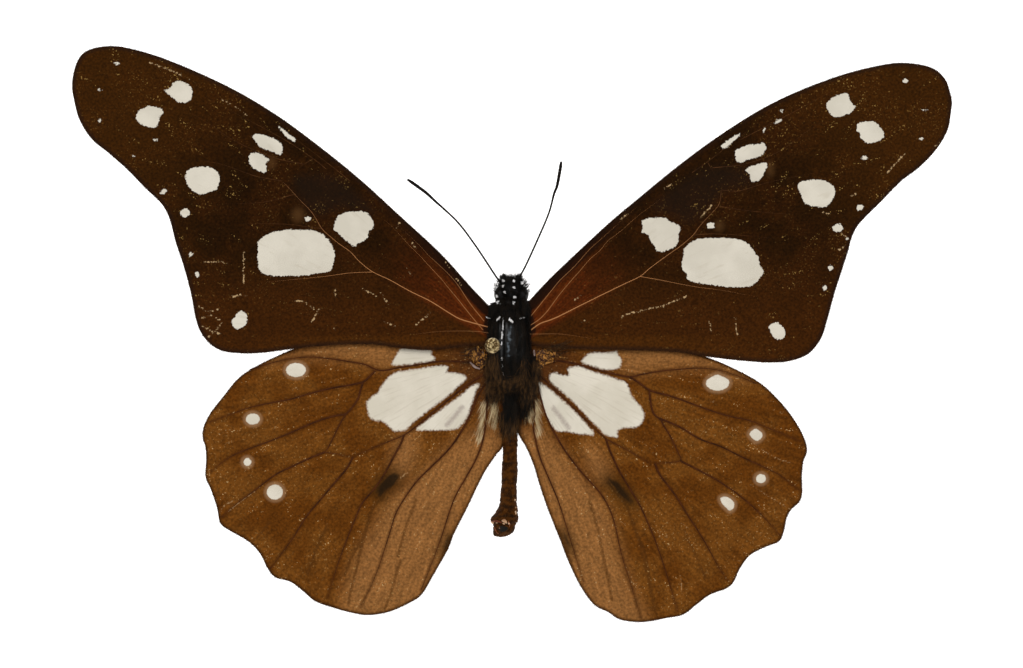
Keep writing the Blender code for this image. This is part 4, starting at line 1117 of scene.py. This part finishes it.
def ochre_wing_scales():
    """Ochre hindwing scales: matt mid brown, paler towards the body, darker along the veins and the rim."""
    made, tree, shader = new_surface("ochre_wing_scales", Roughness=0.8, Specular_IOR_Level=0.03)
    on = wing_fields(
        tree, "spot", "patch", "vein", "rim", "scuff", "streak", "grey", "brand", "field", "fold")
    colour = overlay(
        tree, "#593008",
        ("#693E12", on.tone),
        ("#8A5C30", (on.field, -1.2, 1.2, 0.9)),
        ("#4A2A12", (on.root, 8.5, 3.0, 0.85)))
    colour = shaded(tree, colour, on.grain, 0.66, 1.36)
    colour = shaded(tree, colour, on.streaks, 0.80, 1.22)
    ragged = ((on.grain, -0.14, 0.14), (on.fine, -0.10, 0.10))
    crease = uneven(tree, on.fold, (on.grain, -0.04, 0.04))
    blotched = uneven(tree, on.brand, (on.streaks, -0.5, 0.5))
    thin = uneven(tree, on.scuff, (on.fine, -0.14, 0.14))
    cream = uneven(tree, on.streak, (on.streaks, 0.7, -0.7), *ragged)
    colour = overlay(
        tree, colour,
        ("#3E1E06", (on.vein, 0.28, 0.05, 0.5)),
        ("#3A2008", (on.rim, 0.32, 0.05, 0.8)),
        ("#4A2A0C", (crease, 0.21, 0.03, 0.6)),
        # Worn scales, in specks and short streaks
        ("#B08850", (on.fine, 0.64, 0.70), (on.cloud, 0.46, 0.62, 0.6, 0.08)),
        ("#C8A470", (on.streaks, 0.58, 0.64), (on.fine, 0.62, 0.67, 0.8)),
        # The scent brand, its brown surround first
        ("#382208", (blotched, -1.2, 0.1, 0.6)),
        ("#1C140A", (blotched, -0.20, 0.26, 0.85)),
        ("#B08C60", (thin, 0.07, 0.0, 0.55)),
        ("#C8B48C", (cream, 0.44, -0.14, 0.75)),
        # Each white spot has a faint pale ring
        ("#94704E", (on.spot, -0.40, -0.10, 0.6)))
    spot_edge = uneven(tree, on.spot, *((cells, least * 0.4, most * 0.4) for cells, least, most in ragged))
    white = add(tree, "Math", {"operation": "MAXIMUM"}, {
        0: where(tree, (spot_edge, -0.05, 0.05)),
        1: where(tree, (uneven(tree, on.patch, *ragged), -0.14, 0.12))})
    chalk = overlay(
        tree, "#DDD4C2",
        ("#D2C9B6", on.tone),
        ("#B0A28C", (on.streaks, 0.52, 0.70, 0.25)),
        ("#A89A8E", (uneven(tree, on.grey, *ragged), 0.35, 0.0, 0.8)))
    paint(tree, shader, overlay(tree, colour, (chalk, white)), on.fine, 0.3, 0.03)
    return made


def bare_vein_horn():
    """Bare vein stems: dry tan horn with a soft gleam, darkening outwards until the scales cover it."""
    made, tree, shader = new_surface("bare_vein_horn", Roughness=0.55, Specular_IOR_Level=0.15)
    spots = add(tree, "TexCoord", {}, {}, "Object")
    root = (THORAX.x, THORAX.y, THORAX_LEVEL)
    out = add(tree, "VectorMath", {"operation": "DISTANCE"}, {0: spots, 1: root}, "Value")
    out = uneven(tree, out, (texture(tree, 0.5), -22.5 * MM, 22.5 * MM))
    paint(tree, shader, overlay(tree, "#AC7444", ("#3A200C", (out, 11 * MM, 42 * MM))))
    return made


def scaled_vein_horn(name, dark, light):
    """Veins under scales: brown horn, matt, its tone shifting along the vein."""
    return mottled(name, (dark, light), 0.7, detail=3.0, Roughness=0.7, Specular_IOR_Level=0.08)


def plain_horn(name, dark, light, roughness, gloss):
    """Dry cuticle: dark horn with a faint uneven tone."""
    return mottled(name, (dark, light), 0.5, relief=(0.4, 0.02),
                   Roughness=roughness, Specular_IOR_Level=gloss)


def pin_steel():
    """Drawn steel wire: bright grey, with faint lines along it."""
    return mottled("pin_steel", ("#A8A6A2", "#C9C7C2"), 0.08, (0.3, 0.7), detail=2.0,
                   stretch=(1.0, 1.0, 0.04), Roughness=0.32, Metallic=1.0)


def worn_brass():
    """Old brass: yellow metal with brown tarnish in its dents and scratches."""
    return mottled("worn_brass", ("#4A361C", "#C8B283"), 0.28, (0.44, 0.62), relief=(0.8, 0.05), swirl=1.2,
                   Roughness=0.38, Metallic=1.0)


def hair(name, dark, light, tuft=0.35, roughness=0.6):
    """Dry hair: thin horn threads whose colour shifts from tuft to tuft, along the body less than across."""
    return mottled(name, (dark, light), tuft, easing="SMOOTHSTEP", detail=3.0, stretch=(1.0, 0.22, 1.0),
                   Roughness=roughness, Specular_IOR_Level=0.15)


def hinge_horn():
    """Wrinkled hinge plates: bare golden brown horn with a wet gleam; the tone follows the relief, and the
    dark in the folds is painted shade.
    """
    # The dark tone lies where the relief is low: painted shade in the folds
    return mottled("hinge_horn", ("#32180A", "#AA7434"), 0.22, (0.44, 0.64), relief=(0.6, 0.04),
                   easing="SMOOTHSTEP", detail=3.0, swirl=1.0, Roughness=0.35, Specular_IOR_Level=0.12)


def thorax_cuticle():
    """Black thorax horn: polished, with a blue-grey highlight painted along its crest."""
    made, tree, shader = new_surface("thorax_cuticle", Roughness=0.34, Specular_IOR_Level=0.22)
    speckle = texture(tree, 0.30)
    crest_highlight = add(tree, "Attribute", {"attribute_name": "crest_highlight"}, {}, "Fac")
    crest = uneven(tree, crest_highlight, (speckle, -0.5, 0.5))
    # The blue-grey tint along the crest is a painted highlight, broken up by a fine texture
    paint(tree, shader, overlay(tree, "#0C0906", ("#5A6268", (crest, 0.20, -0.12, 0.85))), speckle, 0.5, 0.03)
    return made


def abdomen_cuticle():
    """Abdomen rings: matt red-brown plates, dark where each laps over the next."""
    made, tree, shader = new_surface("abdomen_cuticle", Roughness=0.65, Specular_IOR_Level=0.04)
    patchy = texture(tree, 0.4)
    lap = uneven(tree, add(tree, "Attribute", {"attribute_name": "lap"}, {}, "Fac"), (patchy, -0.12, 0.12))
    colour = overlay(tree, "#2A1402", ("#4A2806", (patchy, 0.36, 0.64)), ("#180C02", (lap, 0.16, 0.0, 0.6)))
    paint(tree, shader, colour, patchy, 0.5, 0.03)
    return made


def eye_gloss():
    """A dried compound eye: dark horn facets with a wet gleam."""
    return new_surface("eye_gloss", Roughness=0.3, Specular_IOR_Level=0.12, Base_Color=linear("#0C0806"))[0]


def build_wing(kind, word, margin, folds, level, marks, scales, horn, veins, dice):
    """One wing: its fringe, its membrane, and its veins, given as (part, material, [(line, radii in mm)])."""
    side = -1 if word == "left" else 1
    put(fringe(f"{kind}_fringe_{word}", margin, level, folds, horn, dice))
    plate = membrane(f"{kind}_membrane_{word}", side, margin, folds, level, marks, scales)
    put(plate, f"{kind}_{word}")
    for part, surface, lines in veins:
        routes = [vein_route(line, level, folds, radii) for line, radii in lines]
        put(threads(f"{kind}_{part}_{word}", routes, surface, 2))


def build_wings(dice):
    scales, bare_horn = dark_wing_scales(), bare_vein_horn()
    horn = scaled_vein_horn("forewing_vein_horn", "#2E180A", "#5E3A1C")
    for word, margin, stems, veins, marks in (
        ("left", LEFT_FOREWING_MARGIN, LEFT_FOREWING_STEMS, LEFT_FOREWING_VEINS, {
            "spot": LEFT_FOREWING_SPOTS, "scuff": LEFT_FOREWING_SCUFFS, "smudge": LEFT_FOREWING_SMUDGES,
            "soot": [LEFT_SOOT]}),
        ("right", RIGHT_FOREWING_MARGIN, RIGHT_FOREWING_STEMS, RIGHT_FOREWING_VEINS, {
            "spot": RIGHT_FOREWING_SPOTS, "scuff": RIGHT_FOREWING_SCUFFS, "smudge": RIGHT_FOREWING_SMUDGES,
            "soot": [RIGHT_SOOT]}),
    ):
        threaded = (("stems", bare_horn, list(zip(stems, STEM_RADII))),
                    ("veins", horn, [(vein, FOREWING_VEIN_RADII) for vein in veins]))
        folds = stems + veins
        build_wing("forewing", word, margin, folds, FOREWING_LEVEL, marks, scales, horn, threaded, dice)

    scales = ochre_wing_scales()
    horn = scaled_vein_horn("hindwing_vein_horn", "#321604", "#4A240A")
    for word, margin, veins, marks in (
        ("left", LEFT_HINDWING_MARGIN, LEFT_HINDWING_VEINS, {
            "spot": LEFT_HINDWING_SPOTS, "patch": LEFT_HINDWING_PATCHES, "streak": LEFT_HINDWING_STREAKS,
            "grey": LEFT_HINDWING_GREYS, "brand": LEFT_BRANDS, "field": LEFT_PALE_FIELDS,
            "scuff": LEFT_HINDWING_SCUFFS, "fold": LEFT_HINDWING_FOLDS}),
        ("right", RIGHT_HINDWING_MARGIN, RIGHT_HINDWING_VEINS, {
            "spot": RIGHT_HINDWING_SPOTS, "patch": RIGHT_HINDWING_PATCHES, "streak": RIGHT_HINDWING_STREAKS,
            "grey": RIGHT_HINDWING_GREYS, "brand": RIGHT_BRANDS, "field": RIGHT_PALE_FIELDS,
            "scuff": RIGHT_HINDWING_SCUFFS, "fold": RIGHT_HINDWING_FOLDS}),
    ):
        threaded = (("veins", horn, [(vein, HINDWING_VEIN_RADII) for vein in veins]),)
        build_wing("hindwing", word, margin, veins, HINDWING_LEVEL, marks, scales, horn, threaded, dice)


def keep_on_points(piece, name, values):
    """Keeps a value in mm on each of a piece's points, for its material to read."""
    layer = piece.data.attributes.new(name, "FLOAT", "POINT")
    layer.data.foreach_set("value", (values / MM).astype(np.float32))


def build_skins():
    """The body's hard forms: returns the thorax, the head, the palps, the abdomen and the shoulders."""
    cuticle = plain_horn("black_cuticle", "#060605", "#0E0C0A", 0.42, 0.18)
    thorax = put(round_form("thorax_skin", 200, 150, thorax_spot, thorax_cuticle()), "thorax")
    middle = Vector((HEAD_X, HEAD_Y, HEAD_LEVEL))
    head = put(ball("head_skin", middle, HEAD_HALF, cuticle, 96, 64, lumps=(0.3, 0.05)), "head")
    palps, gloss = [], eye_gloss()
    for side, word in ((-1, "left"), (1, "right")):
        put(eye("eye_facets_" + word, side, gloss), "eye_" + word)
        spot = middle + Vector((side * 0.56, 0.70, 0.05)) * MM
        turn = Matrix.Rotation(math.radians(-62), 3, "X") @ Matrix.Rotation(math.radians(8 * side), 3, "Y")
        half = (0.31 * MM, 0.30 * MM, 0.70 * MM)
        palps.append(put(ball("palp_" + word, spot, half, cuticle, 40, 32, turn, (0.15, 0.03))))
    # The distance from the line of the crest's painted highlight, kept on the thorax's points
    crest = np.array([v.co.xy for v in thorax.data.vertices])
    keep_on_points(thorax, "crest_highlight", nearest_line(crest, [PAINTED_CREST_HIGHLIGHT]))

    tail = put(round_form("abdomen_skin", 120, 260, abdomen_spot, abdomen_cuticle()), "abdomen")
    down = ABDOMEN[0][1] - np.array([v.co.y for v in tail.data.vertices])
    laps = np.abs(down - ABDOMEN_RUN * np.array(RING_STARTS)[:, None]).min(0)
    keep_on_points(tail, "lap", laps)

    neck = Vector(((THORAX.x + HEAD_X) / 2, at(0, 303.5)[1], HEAD_LEVEL - 0.1 * MM))
    put(ball("neck", neck, (0.85 * MM, 0.75 * MM, 0.90 * MM), cuticle))
    waist = Vector((*at(510.5, 399), THORAX_LEVEL + 0.05 * MM))
    put(ball("waist", waist, (0.78 * MM, 0.85 * MM, 0.62 * MM), cuticle))
    shoulders = []
    for word, px in (("left", (494, 310)), ("right", (525, 308))):
        spot = Vector((*at(*px), FOREWING_LEVEL + 0.18 * MM))
        half = (0.40 * MM, 0.66 * MM, 0.26 * MM)
        shoulders.append(put(ball("shoulder_" + word, spot, half, cuticle, lumps=(0.2, 0.06))))
    return thorax, head, palps, tail, shoulders


def build_coats(thorax, head, palps, tail, shoulders, black_hair, dice):
    """Short coats all round the body, with the thorax's crest left bare."""
    def off_the_crest(spot):
        low = spot.z < THORAX_LEVEL + 1.3 * MM
        return low or spot.y > THORAX.y + 2.4 * MM or spot.y < THORAX.y - 1.2 * MM

    coat = fur_routes(spots_on(thorax, 3600, dice, off_the_crest), (0, -1, -0.15), 0.55, 0.014, dice)
    put(threads("thorax_coat", coat, black_hair))
    coat = fur_routes(spots_on(head, 2200, dice), (0, 0.5, 0.3), 0.46, 0.014, dice, 1.6)
    for palp in palps:
        coat += fur_routes(spots_on(palp, 380, dice), (0, 0.6, 0.5), 0.34, 0.013, dice, 1.0)
    for lobe in shoulders:
        coat += fur_routes(spots_on(lobe, 700, dice), (0, -1, 0), 0.40, 0.014, dice, 0.8)
    put(threads("head_coat", coat, black_hair))
    coat = fur_routes(spots_on(tail, 2600, dice), (0, -1, 0), 0.20, 0.010, dice, 0.22)
    put(threads("abdomen_coat", coat, hair("tail_hair", "#2A1704", "#52340F")))


def build_tail_end(tail, black_hair):
    """The abdomen's open end: a flat black disc laid in its hollow as painted shade, and its red ridge and
    the pale ridges of painted highlight laid on the skin.
    """
    skin = BVHTree.FromPolygons([v.co for v in tail.data.vertices], [p.vertices for p in tail.data.polygons])

    def on_tail(x, y):
        found = skin.ray_cast(Vector((x, y, 0.1)), Vector((0, 0, -1)))[0]
        return (found.z if found else THORAX_LEVEL) + 0.02 * MM

    # A flat black disc laid on the skin in the open end's hollow: painted shade
    flat = at(503, 528.5)
    hollow = Vector((*flat, on_tail(*flat) - 0.04 * MM))
    half = (0.44 * MM, 0.28 * MM, 0.09 * MM)
    put(ball("tail_hollow_painted_shade", hollow, half, black_hair, lumps=(0.2, 0.16)))
    # The red ridge is the skin's own colour; the pale ridges are painted highlights on the claspers and the
    # abdomen's side
    for name, ridges, horn in (
        ("tail_ridge", TAIL_RIDGE, plain_horn("red_horn", "#54240F", "#84482C", 0.5, 0.1)),
        ("tail_painted_highlights", TAIL_PAINTED_HIGHLIGHTS, plain_horn("painted_highlight_horn", "#8A5C3C", "#D2AC86", 0.5, 0.1)),
    ):
        put(threads(name, ridge_routes(ridges, 0.05 * MM, 0.4, on_tail), horn, 2))


def build_long_hair(black_hair, dice):
    """Long hair laid over the back and the wing roots."""
    for name, beds, thick, surface in (
        ("collar_hair", COLLAR_BEDS, 0.016, black_hair),
        ("back_hair", BACK_BEDS, 0.016, black_hair),
        ("waist_hair", WAIST_BEDS, 0.014, hair("brown_hair", "#1A1108", "#5C4022", tuft=0.20)),
        ("wing_root_hair", WING_ROOT_BEDS, 0.012, hair("golden_hair", "#8A6A40", "#CDB688")),
    ):
        put(threads(name, combed_routes(beds, thick, dice), surface))


def build_hinges():
    """The wrinkled plates and ridges of the wing hinges."""
    wrinkled = hinge_horn()
    for number, (px, (wide, long)) in enumerate(HINGE_PLATES):
        flat = at(*px)
        spot = Vector((*flat, top_height(*flat) - 0.02 * MM))
        half = (wide * MM, long * MM, 0.20 * MM)
        put(ball(f"hinge_plate_{number}", spot, half, wrinkled, 80, 56, lumps=(0.20, 0.22)))
    pale = plain_horn("hinge_bloom", "#4A342C", "#A08A80", 0.5, 0.08)
    for name, ridges, surface in (
        ("hinge_ridges", HINGE_RIDGES, wrinkled), ("hinge_ridges_pale", PALE_HINGE_RIDGES, pale),
    ):
        routes = ridge_routes(ridges, 0.08 * MM, 0.45, lambda x, y: top_height(x, y) + 0.10 * MM)
        put(threads(name, routes, surface, 2))


def head_tufts(dice):
    """White scale tufts, each of short threads that stand on the head through its coat."""
    tufts = []
    for x, y, wide, high in HEAD_DOTS:
        for _ in range(14):
            flat = at(x + dice.uniform(-0.3, 0.3) * wide, y + dice.uniform(-0.3, 0.3) * high)
            across, along = (flat[0] - HEAD_X) / HEAD_HALF[0], (flat[1] - HEAD_Y) / HEAD_HALF[1]
            up = math.sqrt(max(0.0, 1 - across**2 - along**2))
            skin = Vector((*flat, max(HEAD_LEVEL + max(up, 0.45) * HEAD_HALF[2], top_height(*flat))))
            away = Vector((dice.uniform(-1, 1), dice.uniform(-1, 1), 1.2)).normalized() * MM
            start = skin + Vector((0, 0, (0.46 if y < 284 else 0.28) * MM))
            tufts.append([(skin, 0.02 * MM), (start, 0.045 * MM), (start + away * 0.10, 0.04 * MM),
                          (start + away * 0.17, 0.01 * MM)])
    return tufts


def thorax_tufts(dice):
    """White lines on the thorax, of short threads that stand through the hair along them."""
    tufts = []
    for dash, wide, lift in THORAX_DASHES:
        for x, y in smooth_line(place(dash), 0.05 * MM):
            for _ in range(max(1, round(wide * 100))):
                skin = Vector((x + dice.gauss(0, wide) * MM, y + dice.gauss(0, wide) * MM, 0))
                skin.z = top_height(skin.x, skin.y)
                spot = skin + Vector((0, 0, lift * MM))
                end = spot + Vector((dice.uniform(-0.05, 0.05), -0.10, dice.uniform(0.02, 0.07))) * MM
                tufts.append([(skin, 0.01 * MM), (spot, wide * MM), (end, 0.012 * MM)])
    return tufts


def build_body(dice):
    black_hair = hair("black_hair", "#080603", "#1C140B")
    thorax, head, palps, tail, shoulders = build_skins()
    build_coats(thorax, head, palps, tail, shoulders, black_hair, dice)
    build_tail_end(tail, black_hair)
    build_long_hair(black_hair, dice)
    build_hinges()
    white_scales = hair("white_scales", "#C8C4C0", "#F0EEEC", roughness=0.5)
    put(threads("white_tufts", head_tufts(dice) + thorax_tufts(dice), white_scales))


def build_feelers(horn):
    """Feelers: ringed threads that swell to a long slim club."""
    thin, club = 0.084, 0.145
    for word, route in (("left", LEFT_FEELER), ("right", RIGHT_FEELER)):
        flat = smooth_line(place(route), 0.055 * MM)
        shares = np.linspace(0, 1, len(flat))
        radii = thin + (club - thin) * ease(shares, 0.60, 0.92) * (1 - 0.8 * ease(shares, 0.96, 1.0))
        radii = radii * (1 - 0.14 * (np.arange(len(flat)) % 5 == 0))
        rise = HEAD_LEVEL + (0.62 + 1.1 * shares) * MM
        path = [((x, y, z), r * MM) for (x, y), z, r in zip(flat, rise, radii)]
        put(threads("feeler_" + word, [path], horn, 3), "antenna_" + word)


def limb_route(start, end, thick, ringed):
    """One joint of a leg, swollen above its middle, or with the foot's small rings."""
    path = []
    for step in range(LIMB_POINTS):
        t = step / (LIMB_POINTS - 1)
        swell = math.sin(math.pi * min(1, t * 1.15 + 0.08)) ** 0.5 if t < 0.8 else 0.62
        radius = thick * (0.55 + 0.42 * swell)
        if ringed:
            radius = thick * (1 - 0.22 * (step % 5 == 0))
        path.append((start.lerp(end, t), radius * MM))
    return path


def limb_spines(start, end, dice):
    """The fine spines along one joint of a leg, leaning towards its tip."""
    spines = []
    along = (end - start).normalized()
    for _ in range(60):
        root = start.lerp(end, dice.random())
        away = Vector((dice.gauss(0, 1), dice.gauss(0, 1), dice.gauss(0, 1)))
        away = (away - along * away.dot(along)).normalized()
        spines.append([(root, 0.012 * MM), (root + (away * 0.22 + along * 0.14) * MM, 0.003 * MM)])
    return spines


def build_legs(horn, dice):
    for node, joints, thick in (
        ("fore_leg", FORE_LEG, 0.11), ("mid_leg", MID_LEG, 0.20), ("hind_leg", HIND_LEG, 0.20),
    ):
        for side, word in ((-1, "left"), (1, "right")):
            spots = [Vector((THORAX.x + side * out * MM, THORAX.y + ahead * MM, THORAX_LEVEL + up * MM))
                     for out, ahead, up in joints]
            pieces, spines = [], []
            for number, (start, end) in enumerate(zip(spots, spots[1:])):
                foot = number == 2
                pieces.append(limb_route(start, end, thick * (0.42 if foot else 1.0 - 0.24 * number), foot))
                spines += limb_spines(start, end, dice)
            put(threads(f"{node}_joints_{word}", pieces, horn, 3), f"{node}_{word}")
            put(threads(f"{node}_spines_{word}", spines, horn))


def build_tongue(horn):
    """The coiled, ribbed tongue."""
    centre = Vector((HEAD_X, HEAD_Y + 0.55 * MM, HEAD_LEVEL - 1.62 * MM))
    outer, inner, turns, points = 0.56, 0.12, 2.25, 260
    coil = []
    for step in range(points):
        t = step / (points - 1)
        angle = turns * 2 * math.pi * t
        reach = (outer + (inner - outer) * t) * MM
        rib = 0.062 * (1 - 0.12 * (step % 3 == 0)) * MM
        coil.append((centre + Vector((0, math.sin(angle) * reach, math.cos(angle) * reach)), rib))
    put(threads("tongue", [coil], horn, 2), "proboscis")


def build_limbs(dice):
    horn = plain_horn("limb_horn", "#080605", "#181009", 0.6, 0.08)
    build_feelers(horn)
    build_legs(horn, dice)
    build_tongue(horn)


def build_pin():
    """The brass head with its turned ring; the steel shaft keeps its solid."""
    low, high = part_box("pin_head")
    middle = (low + high) / 2
    half = (high - low) / 2

    def spot(angle, share):
        out, up = math.sin(math.pi * share), math.cos(math.pi * share)
        edge = power(out, 0.8)
        ring = 0.06 * dip(out, 0.86, 0.07) * (up > 0)
        away = Vector((edge * math.cos(angle), edge * math.sin(angle), power(up, 0.85) - ring))
        skin = middle + half * away
        inner = max(0.0, 1 - (out / 0.8) ** 4) * (up > 0)
        return skin - Vector((0, 0, abs(rough(skin, 0.16 * MM, 0.10 * MM)) * inner))

    put(round_form("pin_head_turned", 96, 72, spot, worn_brass()), "pin_head")
    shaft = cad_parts["pin_shaft"]
    shaft.data.materials.clear()
    shaft.data.materials.append(pin_steel())


def build_stage():
    """A lit opal table, which keeps the ground white and the shadows faint, and soft studio light."""
    bm = bmesh.new()
    bmesh.ops.create_grid(bm, x_segments=1, y_segments=1, size=6.0)
    opal = new_surface("opal_table", Roughness=0.6, Base_Color=linear("#F6F6F4"),
                       Emission_Color=linear("#FFFFFF"), Emission_Strength=0.80)[0]
    finish_form("table", bm, opal)

    world = bpy.data.worlds.new("studio_air")
    bpy.context.scene.world = world
    world.use_nodes = True
    tree = world.node_tree
    tree.nodes["Background"].inputs["Color"].default_value = linear("#F4F6FA")
    seen = add(tree, "LightPath", {}, {}, "Is Camera Ray")
    strength = add(tree, "MapRange", {}, {"Value": seen, "To Min": 0.35, "To Max": 1.0})
    tree.links.new(strength, tree.nodes["Background"].inputs["Strength"])

    for name, spot, size, watts in (
        ("softbox_upper_left", (-0.34, 0.40, 0.62), 0.50, 3.6),
        ("softbox_right", (0.50, 0.10, 0.50), 0.45, 1.5),
        ("softbox_front", (0.0, -0.55, 0.50), 0.45, 1.2),
    ):
        lamp = bpy.data.lights.new(name, "AREA")
        lamp.size = size
        lamp.energy = watts
        light = bpy.data.objects.new(name, lamp)
        light.location = spot
        towards = Vector((0, 0, WING_HEIGHT)) - light.location
        light.rotation_euler = towards.to_track_quat("-Z", "Y").to_euler()
        bpy.context.scene.collection.objects.link(light)
    bpy.context.scene.view_settings.view_transform = "Standard"


def build_camera():
    """Straight above, from far off, framed as the picture is."""
    distance = 1.0
    lens = bpy.data.cameras.new("camera")
    lens.sensor_width = 36.0
    lens.lens = lens.sensor_width * distance / (PICTURE_PX[0] * PIXEL)
    lens.clip_end = 10.0
    camera = bpy.data.objects.new("camera", lens)
    camera.location = (*at(PICTURE_PX[0] / 2, PICTURE_PX[1] / 2), WING_HEIGHT + distance)
    bpy.context.scene.collection.objects.link(camera)
    bpy.context.scene.camera = camera


dice = random.Random(11)
build_wings(dice)
build_body(dice)
build_limbs(dice)
build_pin()
build_stage()
build_camera()
